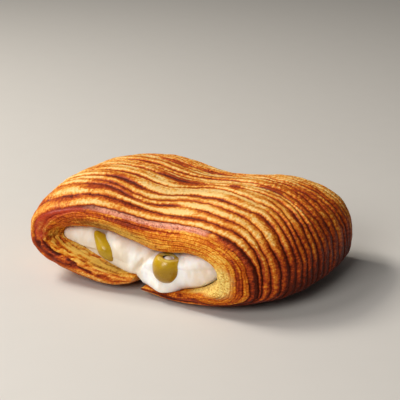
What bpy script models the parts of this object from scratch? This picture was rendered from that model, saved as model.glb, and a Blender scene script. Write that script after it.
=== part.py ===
"""Savoury pain suisse: a ribbed strip of laminated dough folded round a cream filling with green olives.

The strip lies across the table like a bolster. It starts at a thin flap under the middle, runs under the
right-hand end, over the top and down round the left-hand end, and stops in a second flap beside the first.
Both open ends of the roll, front and back, show the cream and the olives set in it.

Metres, +Z up. X runs along the roll, Y from the front opening to the back one. The origin is on the table,
under the middle of the bounding box.
"""

import bpy
import numpy as np

# Outline of the crust, seen from the front: x and z of its two ends, and the heights between them.
CRUST_LEFT = (-0.0663, 0.0268)
CRUST_RIGHT = (0.0663, 0.0155)
CRUST_TOP = (0.0479, 0.0470)  # height of the crown at the left and at the right
CRUST_DIP = 0.0060  # how far the crown sags in the middle
CRUST_DIP_SPREAD = 0.0256
CRUST_SINK = 0.0022  # the base is pressed flat this far up
CRUST_ROUNDING = {"upper": (2.58, 2.13, 2.95), "lower": (1.83, 1.94, 3.38)}  # left, right, height

# Outline of the hollow that the cream fills.
HOLLOW_LEFT = (-0.0455, 0.0208)
HOLLOW_RIGHT = (0.0295, 0.0172)
HOLLOW_ROOF = (0.0284, 0.0243)
HOLLOW_DIP = 0.0072  # how far its roof sags, and where
HOLLOW_DIP_X = 0.0035
HOLLOW_DIP_SPREAD = 0.0166
HOLLOW_FLOOR = (0.0117, 0.0055)  # on the left-hand flap and on the right-hand flap
HOLLOW_FLOOR_RISE = 0.0062  # the left-hand floor climbs this much towards the end
HOLLOW_FLOOR_LIP = 0.0014  # and the right-hand one this much at the tip of its flap
HOLLOW_ROUNDING = {"upper": (2.17, 3.70, 1.80), "lower": (1.40, 2.50, 1.95)}

# The seam under the roll, where the two flaps of the strip meet.
SEAM_X = -0.0036
FLAP_LIFT = (0.0062, 0.0022)  # how far the tips of the left-hand and the right-hand flap bend up
FLAP_LIFT_SPREAD = (0.0115, 0.0100)
FLAP_TIP = (0.0018, 0.0032)  # lengths of the right-hand and the left-hand flap's rounded tip
STRIP_START = 0.0  # angle round the roll of the right-hand flap's tip
STRIP_END = 2 * np.pi - 0.110  # and of the left-hand flap's tip

# The strip's own section, from the front rim to the back rim.
DEPTH = 0.0965
RIM_PLACE = 0.55  # how far through the strip's thickness, from the hollow, the rims stand
RIM_ROUNDING = (4.2, 3.3)  # crust side and hollow side
CURL_POWER = 2.7  # how suddenly the crust curls in towards either rim
CURL_HEIGHT = 0.045
FRONT_CURL = {"left": 0.0030, "right": 0.0179, "top left": 0.0090, "top right": 0.0101, "bottom": 0.0027}
BACK_CURL = {"left": 0.0083, "right": 0.0085, "top left": 0.0094, "top right": 0.0050, "bottom": 0.0015}
WAIST = (0.08, 0.10)  # how much the roll narrows in the middle, at the base and at the crown
WAIST_HEIGHT = 0.035

# Grooves between the ribs. A place is measured in metres along the strip's section, from the front rim back.
# A groove's first five numbers are its places at the stations, from the right-hand end over the crown to the
# left-hand shoulder. The last is 1 for a groove that runs all the way and 0 for one that fades out beyond
# the right-hand end, where two ribs join into one.
LIP = -0.0137
BAND = (0.0088, 0.0121)  # the smooth, dark rib that frames the opening
BAND_SLIDE = 0.0108  # how far the band slides in towards the hollow at the left-hand end and underneath
BAND_SLIDE_LEFT = (0.188, 0.235)
BAND_SLIDE_RIGHT = (0.038, 0.062)
BAND_SLIDE_WIDTH = 0.0120
GROOVES = (
    (0.0141, 0.0168, 0.0193, 0.0190, 0.0196, 1),
    (0.0175, 0.0210, 0.0262, 0.0237, 0.0282, 1),
    (0.0216, 0.0268, 0.0324, 0.0276, 0.0326, 1),
    (0.0259, 0.0327, 0.0399, 0.0339, 0.0370, 1),
    (0.0290, 0.0375, 0.0455, 0.0382, 0.0408, 0),
    (0.0325, 0.0418, 0.0514, 0.0424, 0.0447, 1),
    (0.0365, 0.0460, 0.0538, 0.0475, 0.0490, 0),
    (0.0405, 0.0507, 0.0561, 0.0528, 0.0532, 1),
    (0.0450, 0.0537, 0.0588, 0.0556, 0.0563, 0),
    (0.0495, 0.0569, 0.0613, 0.0584, 0.0595, 1),
    (0.0545, 0.0610, 0.0657, 0.0635, 0.0645, 1),
    (0.0600, 0.0655, 0.0700, 0.0680, 0.0690, 0),
    (0.0660, 0.0695, 0.0735, 0.0722, 0.0725, 1),
    (0.0725, 0.0735, 0.0772, 0.0768, 0.0770, 1),
)
BACK_GROOVES = 5  # even ribs between the last of those and the band round the back opening
FACE_RIBS = (5, 4)  # fine ribs from the lip of the hollow to the rim, and from the rim to the band
STATIONS = (0.090, 0.120, 0.152, 0.170, 0.200)  # distances along the crust, from the right-hand flap's tip
FADE = (0.105, 0.125)
WANDER = 0.0005  # how far a groove strays to and fro
WANDER_LENGTHS = (0.085, 0.037)
GROOVE_DEPTH = 0.0015
FACE_GROOVE_DEPTH = 0.0008
TIP_FADE = 0.012  # the grooves run out over this length at the flaps
BASE_FADE = (0.001, 0.008)  # and flatten between these heights, where the roll sat on its tray
BASE_RELIEF = 0.3
GROOVE_SPREAD = (0.65, 1.0)  # the least and the most of its full depth that a groove reaches
SEED = 7

# Mesh density.
SECTION_SAMPLES = 2001
RINGS = 42
RING_EVENNESS = 0.5  # 0 spaces the rings by length along the crust, 1 by angle
TIP_TURNS = (0.5, 1.0)  # rings on a rounded flap tip, in radians from its edge
RIB_STEPS = 3
FACE_STEPS = 2
HOLLOW_ROWS = 9

# Cream. A turn of the strip's section, counted from the middle of the hollow, says how far it reaches.
GAP = 0.0006  # clearance between the cream and the dough
CREAM_REACH = 0.80
CREAM_EDGE = -0.0130  # place of the cream's edge on the strip, at the front
CREAM_EDGE_SHIFTS = (  # distance along, spread before it and beyond it, and how far the edge moves there
    (0.0165, 0.0200, 0.0100, 0.0093),
    (0.0750, 0.0180, 0.0220, -0.0065),
    (0.3040, 0.0300, 0.0300, 0.0064),
)
CREAM_MIDDLE = (-0.0030, 0.0455, 0.0155)  # middle of either face: x, depth either way, z
CREAM_CONTACT_ROWS = 10
CREAM_FACE_ROWS = 4
DRIP_SWELL = 0.0012  # how far the cream bulges where it spills over the front edge

# Olives: centre, half sizes and lean in the plane of the opening, in radians.
OLIVES = {
    "olive_left": ((-0.0234, -0.0415, 0.0203), (0.0040, 0.0056, 0.0080), -0.58),
    "olive_back_left": ((-0.0185, 0.0405, 0.0192), (0.0041, 0.0052, 0.0054), 0.60),
    "olive_back_right": ((0.0150, 0.0405, 0.0150), (0.0060, 0.0058, 0.0052), 0.30),
}
PITTED_OLIVE = ((0.0078, -0.0405, 0.0155), (0.0067, 0.0066, 0.0074), 0.14)
PIT_CUT = 0.65  # share of the half height at which its top is sliced off
PIT_RADIUS = 0.0026
PIT_DEPTH = 0.0030
OLIVE_POWER = 2.1
OLIVE_SEGMENTS = 16
OLIVE_RINGS = 9
OLIVE_CLEARANCE = 0.0003

# Finishes: linear colour, roughness, metallic.
FINISHES = {
    "crust": ((0.52, 0.24, 0.07), 0.5, 0.0),
    "cream": ((0.82, 0.75, 0.62), 0.45, 0.0),
    "olive": ((0.30, 0.24, 0.02), 0.3, 0.0),
}


def mix(a, b, share):
    """Value between a and b."""
    return a + (b - a) * share


def hump(x, centre, spread):
    """Smooth hump of height 1."""
    return np.exp(-(((x - centre) / spread) ** 2))


def outline(angle, left, right, rounding, top, bottom):
    """Superellipse from the seam round the right end, top and left end, with a top and a bottom line."""
    across, down = np.sin(angle), np.cos(angle)
    upper = down < 0
    is_right = angle < np.pi
    left_power = np.where(upper, rounding["upper"][0], rounding["lower"][0])
    right_power = np.where(upper, rounding["upper"][1], rounding["lower"][1])
    share = np.abs(across) ** (2 / np.where(is_right, right_power, left_power))
    x = SEAM_X + share * (np.where(is_right, right[0], left[0]) - SEAM_X)
    along = (x - left[0]) / (right[0] - left[0])
    middle = mix(left[1], right[1], along)
    height_power = np.where(upper, rounding["upper"][2], rounding["lower"][2])
    limit = np.where(upper, top(x, along), bottom(x, is_right))
    return x, middle + (limit - middle) * np.abs(down) ** (2 / height_power)


def crust_outline(angle):
    """Outside of the roll at mid-depth."""
    return outline(
        angle,
        CRUST_LEFT,
        CRUST_RIGHT,
        CRUST_ROUNDING,
        lambda x, along: mix(*CRUST_TOP, along) - CRUST_DIP * hump(x, 0, CRUST_DIP_SPREAD),
        lambda x, is_right: np.where(is_right, FLAP_LIFT[1], FLAP_LIFT[0])
        * hump(x, SEAM_X, np.where(is_right, FLAP_LIFT_SPREAD[1], FLAP_LIFT_SPREAD[0]))
        - CRUST_SINK,
    )


def hollow_outline(angle):
    """Wall of the hollow at mid-depth."""
    return outline(
        angle,
        HOLLOW_LEFT,
        HOLLOW_RIGHT,
        HOLLOW_ROUNDING,
        lambda x, along: mix(*HOLLOW_ROOF, along) - HOLLOW_DIP * hump(x, HOLLOW_DIP_X, HOLLOW_DIP_SPREAD),
        lambda x, is_right: np.where(
            is_right,
            HOLLOW_FLOOR[1] + HOLLOW_FLOOR_LIP * hump(x, SEAM_X, FLAP_LIFT_SPREAD[1]),
            HOLLOW_FLOOR[0] + HOLLOW_FLOOR_RISE * (x - SEAM_X) / (HOLLOW_LEFT[0] - SEAM_X),
        ),
    )


def strip_point(angle, turn, slim=1.0):
    """Point of the smooth strip: angle runs round the roll, turn round the strip's own section.

    turn is 0 on the front rim, a quarter turn on the crust, half a turn on the back rim, and minus a quarter
    turn in the hollow. The section is a superellipse in the depth and in the thickness. slim thins it.
    """
    power = np.where(np.sin(turn) > 0, *RIM_ROUNDING)
    radius = (np.abs(np.cos(turn)) ** power + np.abs(np.sin(turn)) ** power) ** (-1 / power)
    depth = -radius * np.cos(turn)
    side = radius * np.sin(turn)
    thick = RIM_PLACE + slim * side * np.where(side > 0, 1 - RIM_PLACE, RIM_PLACE)

    crust_x, crust_z = crust_outline(angle)
    hollow_x, hollow_z = hollow_outline(angle)
    reach = np.abs(depth) ** CURL_POWER
    curl = {end: np.where(depth < 0, FRONT_CURL[end], BACK_CURL[end]) * reach for end in FRONT_CURL}
    crust_x = crust_x - curl["right"] * np.clip(crust_x / CRUST_RIGHT[0], 0, 1) ** 1.5
    crust_x = crust_x + curl["left"] * np.clip(crust_x / CRUST_LEFT[0], 0, 1) ** 1.5
    rightness = (crust_x - CRUST_LEFT[0]) / (CRUST_RIGHT[0] - CRUST_LEFT[0])
    height = np.clip(crust_z / CURL_HEIGHT, 0, 2)
    crust_z = crust_z - mix(curl["top left"], curl["top right"], rightness) * height**1.5
    crust_z = crust_z + curl["bottom"] * np.clip(1 - height, 0, 1) ** 2

    x = mix(hollow_x, crust_x, thick)
    z = mix(hollow_z, crust_z, thick)
    waist = mix(*WAIST, np.clip(z / WAIST_HEIGHT, 0, 1)) * hump(x, 0, CRUST_DIP_SPREAD)
    return np.stack([x, depth * DEPTH / 2 * (1 - waist), z], axis=-1)


def smooth(value, start, end):
    """Smooth step from 0 at start to 1 at end."""
    share = np.clip((value - start) / (end - start), 0, 1)
    return share * share * (3 - 2 * share)


def normals(point, angle, turn):
    """Outward unit normals of a surface of (angle, turn), from small steps each way."""
    step = 1e-4
    along = point(angle + step, turn) - point(angle - step, turn)
    round_section = point(angle, turn + step) - point(angle, turn - step)
    normal = np.cross(round_section, along)
    return normal / np.linalg.norm(normal, axis=-1, keepdims=True)


def section_scale():
    """Turns round a typical section, and each one's distance along it from the front rim."""
    turn = np.linspace(-np.pi / 2, 1.5 * np.pi, SECTION_SAMPLES)
    points = strip_point(np.full_like(turn, 0.8 * np.pi), turn)
    place = np.concatenate([[0], np.cumsum(np.linalg.norm(np.diff(points, axis=0), axis=1))])
    return turn, place - np.interp(0, turn, place)


def crust_scale():
    """Angles round the roll, and each one's distance along the crust from the right-hand flap's tip."""
    angle = np.linspace(STRIP_START, STRIP_END, SECTION_SAMPLES)
    x, z = crust_outline(angle)
    return angle, np.concatenate([[0], np.cumsum(np.hypot(np.diff(x), np.diff(z)))])


def ring_angles():
    """Angles of the rings round the roll, and on each how thick the strip is, as a share of the whole."""
    angle, place = crust_scale()
    evenly = mix(place / place[-1], (angle - angle[0]) / (angle[-1] - angle[0]), RING_EVENNESS)
    first, last = np.interp([FLAP_TIP[0], place[-1] - FLAP_TIP[1]], place, evenly)
    body = np.interp(np.linspace(first, last, RINGS), evenly, angle)
    turns = np.array(TIP_TURNS)
    setback = 1 - np.cos(turns)
    start = np.interp(FLAP_TIP[0] * setback, place, angle)
    end = np.interp(place[-1] - FLAP_TIP[1] * setback[::-1], place, angle)
    slim = np.concatenate([np.sin(turns), np.ones(RINGS), np.sin(turns[::-1])])
    return np.concatenate([start, body, end]), slim


def groove_lines(arc, hollow):
    """Places of every line round the section at each station, grooves' depths, and rows up to the next.

    arc is the section's length from rim to rim over the crust, hollow the length from a rim to the middle of
    the hollow. The list starts in the middle of the hollow and goes over the front rim, the crust and the
    back rim.
    """
    stations = []
    for station in range(len(STATIONS)):
        crust = [BAND[1]] + [groove[station] for groove in GROOVES]
        back = np.linspace(crust[-1], arc - BAND[1], BACK_GROOVES + 2)[1:]
        front_half = [
            np.linspace(-hollow, LIP, HOLLOW_ROWS // 2 + 2)[:-1],
            np.linspace(LIP, 0, FACE_RIBS[0] + 1)[:-1],
            np.linspace(0, BAND[0], FACE_RIBS[1] + 1),
        ]
        back_half = [arc - half[::-1] for half in reversed(front_half)]
        stations.append(np.concatenate(front_half + [crust, back] + back_half)[:-1])
    hollow_lines = HOLLOW_ROWS // 2 + 1
    face_lines = sum(FACE_RIBS)
    crust_lines = len(GROOVES) + BACK_GROOVES + 3
    smooth_depth = [0.0] * hollow_lines
    face_depth = [FACE_GROOVE_DEPTH] * face_lines
    depth = smooth_depth + face_depth + [GROOVE_DEPTH] * (crust_lines + 1) + face_depth + smooth_depth
    steps = [1] * hollow_lines + [FACE_STEPS] * face_lines + [RIB_STEPS] * crust_lines
    steps = steps + [FACE_STEPS] * face_lines + [1] * hollow_lines
    return np.array(stations), np.array(depth[: len(stations[0])]), steps


def strip_rows(angle):
    """Turn and relief of every row of the strip's section, on each ring."""
    turn_scale, place_scale = section_scale()
    arc = np.interp(np.pi, turn_scale, place_scale)
    hollow = -place_scale[0]
    stations, depth, steps = groove_lines(arc, hollow)
    along = np.interp(angle, *crust_scale())[:, None]
    length = along[-1]

    lines = stations[0]
    for before, station, place in zip(STATIONS, STATIONS[1:], stations[1:]):
        lines = mix(lines, place, smooth(along, before, station))
    is_crust = depth == GROOVE_DEPTH
    random = np.random.default_rng(SEED)
    for size, wave in zip((1.0, 0.5), WANDER_LENGTHS):
        phase = random.uniform(0, 2 * np.pi, len(depth))
        lines = lines + size * WANDER * is_crust * np.sin(2 * np.pi * along / wave + phase)
    slide = smooth(along, *BAND_SLIDE_LEFT) + 1 - smooth(along, *BAND_SLIDE_RIGHT)
    sliding = slide * BAND_SLIDE * hump(np.minimum(lines, arc - lines), BAND[0], BAND_SLIDE_WIDTH)
    lines = lines - np.where(lines < arc / 2, sliding, -sliding)

    groove = depth * random.uniform(*GROOVE_SPREAD, len(depth))
    first_crust = np.flatnonzero(is_crust)[0] + 2
    runs_on = np.ones(len(depth))
    runs_on[first_crust : first_crust + len(GROOVES)] = [line[-1] for line in GROOVES]
    groove = groove * mix(1, runs_on, smooth(along, *FADE))
    groove = groove * smooth(along, 0, TIP_FADE) * smooth(length - along, 0, TIP_FADE)

    lines = np.concatenate([lines, np.full_like(along, arc + hollow)], axis=1)
    places = []
    relief = []
    for line, count in enumerate(steps):
        for row in range(count):
            places.append(mix(lines[:, line], lines[:, line + 1], row / count))
            relief.append(groove[:, line] if row == 0 else np.zeros(len(angle)))
    turn = np.interp(np.stack(places, axis=1), place_scale, turn_scale)
    return turn, np.stack(relief, axis=1)


def bridge(first, second):
    """Triangles that close the gap between two chains of vertices which share both their ends."""
    progress = np.concatenate([np.linspace(0, 1, len(first))[1:], np.linspace(0, 1, len(second))[1:]])
    on_first = np.argsort(progress, kind="stable") < len(first) - 1
    i = np.concatenate([[0], np.cumsum(on_first)])
    j = np.concatenate([[0], np.cumsum(~on_first)])
    new = np.where(on_first, np.take(first, i[1:]), np.take(second, j[1:]))
    triangles = np.stack([np.take(first, i[:-1]), new, np.take(second, j[:-1])], axis=1)
    distinct = (triangles[:, 0] != triangles[:, 2]) & (new != triangles[:, 0]) & (new != triangles[:, 2])
    return triangles[distinct]


def grid_quads(rings, rows):
    """Quads of a grid that is closed along its rows and open along its rings."""
    ring, row = np.meshgrid(np.arange(rings - 1), np.arange(rows), indexing="ij")
    beside = (row + 1) % rows
    quads = [ring * rows + row, ring * rows + beside, (ring + 1) * rows + beside, (ring + 1) * rows + row]
    return np.stack(quads, axis=-1).reshape(-1, 4)


def finish(name):
    """Material of one finish."""
    colour, roughness, metallic = FINISHES[name]
    material = bpy.data.materials.new(name)
    material.use_nodes = True
    material.diffuse_color = (*colour, 1)
    shader = material.node_tree.nodes["Principled BSDF"]
    shader.inputs["Base Color"].default_value = (*colour, 1)
    shader.inputs["Roughness"].default_value = roughness
    shader.inputs["Metallic"].default_value = metallic
    return material


def add_object(name, vertices, faces, material):
    """Smooth-shaded object from arrays of vertices and faces."""
    mesh = bpy.data.meshes.new(name)
    mesh.from_pydata(np.asarray(vertices).tolist(), [], [list(map(int, face)) for face in faces])
    mesh.validate()
    mesh.shade_smooth()
    mesh.materials.append(material)
    solid = bpy.data.objects.new(name, mesh)
    bpy.context.scene.collection.objects.link(solid)
    return solid


def add_pastry():
    """The folded strip: rings round the roll, each one a section with its grooves, and two rounded tips."""
    ring, slim = ring_angles()
    turn, relief = strip_rows(ring)
    angle = np.broadcast_to(ring[:, None], turn.shape)

    def surface(angle, turn):
        return strip_point(angle, turn, slim[:, None])

    points = surface(angle, turn)
    base = mix(BASE_RELIEF, 1, smooth(points[..., 2], *BASE_FADE))
    points = points - normals(surface, angle, turn) * (relief * base)[..., None]
    points[..., 2] = np.maximum(points[..., 2], 0)

    rings, rows = turn.shape
    front, back = np.argmin(np.abs(turn[0])), np.argmin(np.abs(turn[0] - np.pi))
    crust = np.arange(front, back + 1)
    hollow = np.concatenate([np.arange(front, -1, -1), np.arange(rows - 1, back - 1, -1)])
    start = bridge(crust, hollow)[:, ::-1]
    end = bridge(crust, hollow) + (rings - 1) * rows
    faces = [*grid_quads(rings, rows), *start, *end]
    return add_object("pastry", points.reshape(-1, 3), faces, finish("crust"))


def cream_edges(angle):
    """Turns at which the cream leaves the dough at the back and at the front, and its spill there, 0 to 1."""
    turn_scale, place_scale = section_scale()
    along = np.interp(angle, *crust_scale())
    edge = np.full_like(angle, CREAM_EDGE)
    for at, before, beyond, shift in CREAM_EDGE_SHIFTS:
        edge = edge + shift * hump(along, at, np.where(along < at, before, beyond))
    spill = np.clip((edge - CREAM_EDGE) / CREAM_EDGE_SHIFTS[0][-1], 0, 1)
    back = np.full_like(angle, -np.pi / 2 - CREAM_REACH)
    return back, np.interp(edge, place_scale, turn_scale), spill


def add_cream():
    """Filling that clings to the dough all round, with a swelling face at the front and at the back."""
    ring, _ = ring_angles()
    back_edge, front_edge, spill = cream_edges(ring)
    turn = mix(back_edge[:, None], front_edge[:, None], np.linspace(0, 1, CREAM_CONTACT_ROWS))
    angle = np.broadcast_to(ring[:, None], turn.shape)
    wall = strip_point(angle, turn) + GAP * normals(strip_point, angle, turn)

    swell = np.linspace(0, 1, CREAM_FACE_ROWS + 2)[1:-1] * np.pi / 2
    x, depth, z = CREAM_MIDDLE
    faces_of_cream = []
    for edge, y, drip in ((wall[:, 0], depth, 0), (wall[:, -1], -depth, DRIP_SWELL)):
        middle = np.array([x, y, z])
        inward = (1 - np.cos(swell))[None, :, None]
        outward = np.sin(swell)[None, :, None]
        sheet = mix(edge[:, None], middle, inward)
        sheet[..., 1:2] = mix(edge[:, None, 1:2], y, outward)
        sheet[..., 1] -= drip * spill[:, None] * np.sin(2 * swell)
        faces_of_cream.append(sheet)
    points = np.concatenate([faces_of_cream[0][:, ::-1], wall, faces_of_cream[1]], axis=1)

    rings, rows = points.shape[:2]
    points = np.swapaxes(points, 0, 1)
    poles = [[x, depth, z], [x, -depth, z]]
    vertices = np.concatenate([points.reshape(-1, 3), poles])
    here = np.arange(rings)
    beside = (here + 1) % rings
    last = (rows - 1) * rings
    pole = np.full(rings, rows * rings)
    back_fan = np.stack([beside, here, pole], axis=1)
    front_fan = np.stack([last + here, last + beside, pole + 1], axis=1)
    faces = [*grid_quads(rows, rings), *back_fan, *front_fan]
    return add_object("cream_filling", vertices, faces, finish("cream"))


def olive_profile(half, cut):
    """Half outline of an olive from its foot to its top: distances from the axis and heights, as shares."""
    rise = np.linspace(-np.pi / 2, np.arcsin(cut), OLIVE_RINGS)
    radius = np.maximum(1 - np.abs(np.sin(rise)) ** OLIVE_POWER, 0) ** (1 / OLIVE_POWER)
    return radius, np.sin(rise) * half


def turned(centre, half, lean, radius, height):
    """Solid turned about an axis that leans in the plane of the opening; its ends close on the axis."""
    spin = np.linspace(0, 2 * np.pi, OLIVE_SEGMENTS, endpoint=False)
    across = radius[1:-1, None] * np.cos(spin) * half[0]
    deep = radius[1:-1, None] * np.sin(spin) * half[1]
    up = np.broadcast_to(height[1:-1, None], across.shape)
    points = np.stack([across, deep, up], axis=-1).reshape(-1, 3)
    points = np.concatenate([points, [[0, 0, height[0]], [0, 0, height[-1]]]])
    x, z = points[:, 0].copy(), points[:, 2].copy()
    points[:, 0] = x * np.cos(lean) + z * np.sin(lean)
    points[:, 2] = z * np.cos(lean) - x * np.sin(lean)

    rows = len(radius) - 2
    here = np.arange(OLIVE_SEGMENTS)
    beside = (here + 1) % OLIVE_SEGMENTS
    last = (rows - 1) * OLIVE_SEGMENTS
    foot = np.full(OLIVE_SEGMENTS, rows * OLIVE_SEGMENTS)
    bottom_fan = np.stack([beside, here, foot], axis=1)
    top_fan = np.stack([last + here, last + beside, foot + 1], axis=1)
    quads = grid_quads(rows, OLIVE_SEGMENTS)
    return points + np.array(centre), [*quads, *bottom_fan, *top_fan]


def whole_olive(centre, half, lean, extra=0.0):
    """Barrel-shaped olive."""
    half = np.array(half) + extra
    radius, height = olive_profile(half[2], 1.0)
    return turned(centre, half, lean, radius, height)


def pitted_olive(centre, half, lean):
    """Olive with its top sliced off and the mouth of its pit hole."""
    radius, height = olive_profile(half[2], PIT_CUT)
    mouth = PIT_RADIUS / half[0]
    rim = height[-1]
    radius = np.concatenate([radius, [mouth, mouth * 0.8, 0.0]])
    height = np.concatenate([height, [rim, rim - PIT_DEPTH, rim - PIT_DEPTH]])
    return turned(centre, half, lean, radius, height)


def add_olives(cream):
    """Olives in pockets of the cream, each pocket a little larger than its olive."""
    green = finish("olive")
    for name, (centre, half, lean) in OLIVES.items():
        add_object(name, *whole_olive(centre, half, lean), green)
    add_object("olive_right", *pitted_olive(*PITTED_OLIVE), green)
    for name, (centre, half, lean) in {**OLIVES, "olive_right": PITTED_OLIVE}.items():
        pocket = add_object("pocket_" + name, *whole_olive(centre, half, lean, OLIVE_CLEARANCE), green)
        pocket.hide_render = True
        pocket.display_type = "WIRE"
        cut = cream.modifiers.new("pocket_" + name, "BOOLEAN")
        cut.operation = "DIFFERENCE"
        cut.object = pocket


def main():
    for leftover in list(bpy.data.objects):
        bpy.data.objects.remove(leftover)
    add_pastry()
    add_olives(add_cream())


if __name__ == "__main__":
    main()
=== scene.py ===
"""Looks of a savoury pain suisse: ribbed laminated dough folded round white cream with green olives.

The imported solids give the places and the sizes. Each one is replaced by a finely modelled surface of the same
form: the folded strip with its ribs, the cream with its folds and its spill, and the olives. Metres, +Z up,
X along the roll, Y from the front opening to the back one.
"""

import math

import bpy
import numpy as np
from bpy.props import FloatProperty, FloatVectorProperty, PointerProperty
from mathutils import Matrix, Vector


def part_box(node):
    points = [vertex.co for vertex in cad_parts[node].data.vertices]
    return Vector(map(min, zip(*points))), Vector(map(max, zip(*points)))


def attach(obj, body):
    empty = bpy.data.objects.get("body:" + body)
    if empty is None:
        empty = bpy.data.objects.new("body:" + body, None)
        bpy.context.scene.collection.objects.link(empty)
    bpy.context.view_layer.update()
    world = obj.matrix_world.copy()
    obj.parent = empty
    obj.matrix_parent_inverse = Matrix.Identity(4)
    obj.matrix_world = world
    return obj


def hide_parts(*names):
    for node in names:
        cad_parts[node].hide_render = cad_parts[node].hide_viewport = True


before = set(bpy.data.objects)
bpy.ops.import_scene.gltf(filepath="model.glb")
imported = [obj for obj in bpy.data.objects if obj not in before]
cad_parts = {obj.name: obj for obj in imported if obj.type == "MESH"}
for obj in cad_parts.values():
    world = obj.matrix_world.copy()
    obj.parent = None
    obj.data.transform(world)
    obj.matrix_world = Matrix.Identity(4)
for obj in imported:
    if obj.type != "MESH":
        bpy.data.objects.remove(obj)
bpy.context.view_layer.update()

bl_info = {
    "name": "Pain suisse",
    "version": (1, 0, 0),
    "blender": (4, 5, 0),
    "location": "View3D > Sidebar > Pastry",
    "description": "Builds a ribbed pain suisse with its cream filling and olives, and a plain stage for it",
    "category": "Add Mesh",
}


def srgb(red, green, blue):
    """Linear colour from an sRGB one, given as 0 to 255."""
    channels = np.array([red, green, blue]) / 255
    linear = np.where(channels <= 0.04045, channels / 12.92, ((channels + 0.055) / 1.055) ** 2.4)
    return tuple(float(channel) for channel in linear)


# ---------------------------------------------------------------- sizes of the folded strip, as in the solids

CRUST_LEFT = (-0.0663, 0.0268)  # x and z of the crust's left end
CRUST_RIGHT = (0.0663, 0.0155)
CRUST_TOP = (0.0479, 0.0470)  # height of the crown at the left and at the right
CRUST_DIP = 0.0060  # how far the crown sags in the middle
CRUST_DIP_SPREAD = 0.0256
CRUST_SINK = 0.0022  # the base is pressed flat this far up
CRUST_ROUNDING = {"upper": (2.58, 2.13, 2.95), "lower": (1.83, 1.94, 3.38)}  # left, right, height

HOLLOW_LEFT = (-0.0455, 0.0208)
HOLLOW_RIGHT = (0.0295, 0.0172)
HOLLOW_ROOF = (0.0284, 0.0243)  # height at the left and at the right
HOLLOW_DIP = 0.0072  # how far the roof sags
HOLLOW_DIP_X = 0.0035
HOLLOW_DIP_SPREAD = 0.0166
HOLLOW_FLOOR = (0.0117, 0.0055)  # on the left-hand flap and on the right-hand flap
HOLLOW_FLOOR_RISE = 0.0062  # how far the floor rises towards the left end
HOLLOW_FLOOR_LIP = 0.0014  # and how far at the right-hand flap's tip
HOLLOW_ROUNDING = {"upper": (2.17, 3.70, 1.80), "lower": (1.40, 2.50, 1.95)}

SEAM_X = -0.0036  # where the two flaps meet
FLAP_LIFT = (0.0062, 0.0022)  # how far the undersides of the left-hand and the right-hand flap rise there
FLAP_LIFT_SPREAD = (0.0115, 0.0100)
FLAP_TIP = (0.0018, 0.0032)  # how much of the right-hand and of the left-hand flap its rounded tip takes up
STRIP_START = 0.0  # angles at which the strip starts and ends
STRIP_END = 2 * np.pi - 0.110

DEPTH = 0.0965  # from the front rim to the back one
RIM_PLACE = 0.55  # where a rim stands between the wall of the hollow and the crust
RIM_ROUNDING = (4.2, 3.3)  # powers of the section on the crust's side of the rims and on the hollow's
CURL_POWER = 2.7  # how suddenly the crust curls in towards the rims
CURL_HEIGHT = 0.045
CURL_SLOPE = 1.5  # power with which a curl grows towards its end or its top
FRONT_CURL = {"left": 0.0030, "right": 0.0179, "top left": 0.0090, "top right": 0.0101, "bottom": 0.0027}
BACK_CURL = {"left": 0.0083, "right": 0.0085, "top left": 0.0094, "top right": 0.0050, "bottom": 0.0015}
WAIST = (0.08, 0.10)  # share by which the middle of the roll is less deep, at its base and above it
WAIST_HEIGHT = 0.035

# Places across the strip are distances from the front rim, below 0 in the hollow.
LIP = -0.0137  # where the ribs of the face end in the hollow
BAND = (0.0088, 0.0121)  # the two edges of the smooth dark band
# Grooves: places at each station along the crust, and whether the groove runs on from the crown to the left.
GROOVES = (
    (0.0141, 0.0168, 0.0193, 0.0190, 0.0196, 1),
    (0.0175, 0.0210, 0.0262, 0.0237, 0.0282, 1),
    (0.0216, 0.0268, 0.0324, 0.0276, 0.0326, 1),
    (0.0259, 0.0327, 0.0399, 0.0339, 0.0370, 1),
    (0.0290, 0.0375, 0.0455, 0.0382, 0.0408, 0),
    (0.0325, 0.0418, 0.0514, 0.0424, 0.0447, 1),
    (0.0365, 0.0460, 0.0538, 0.0475, 0.0490, 0),
    (0.0405, 0.0507, 0.0561, 0.0528, 0.0532, 1),
    (0.0450, 0.0537, 0.0588, 0.0556, 0.0563, 0),
    (0.0495, 0.0569, 0.0613, 0.0584, 0.0595, 1),
    (0.0545, 0.0610, 0.0657, 0.0635, 0.0645, 1),
    (0.0600, 0.0655, 0.0700, 0.0680, 0.0690, 0),
    (0.0660, 0.0695, 0.0735, 0.0722, 0.0725, 1),
    (0.0725, 0.0735, 0.0772, 0.0768, 0.0770, 1),
)
BACK_GROOVES = 5
FACE_RIBS = (5, 4)  # on the hollow's side of a rim and on the crust's
STATIONS = (0.090, 0.120, 0.152, 0.170, 0.200)  # distances along the crust
FADE = (0.105, 0.125)  # between these the grooves that don't run on fade away
WANDER = 0.0005  # how far the grooves wander
WANDER_LENGTHS = (0.085, 0.037)
WANDER_SIZES = (1.0, 0.5)
GROOVE_DEPTH = 0.0015
FACE_GROOVE_DEPTH = 0.0008
TIP_FADE = 0.012  # how far from the strip's two tips the relief has its full depth
FLAP_FADE = (0.232, 0.262)  # the left-hand flap's crust is smoother than the rest
FLAP_RELIEF = 0.40
BASE_FADE = (0.001, 0.008)  # heights between which the relief grows from its share on the base
BASE_RELIEF = 0.3
GROOVE_SPREAD = (0.65, 1.0)  # a groove has a random share of the full depth between these
SEED = 7

# ---------------------------------------------------------------- density of the fine surfaces

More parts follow.
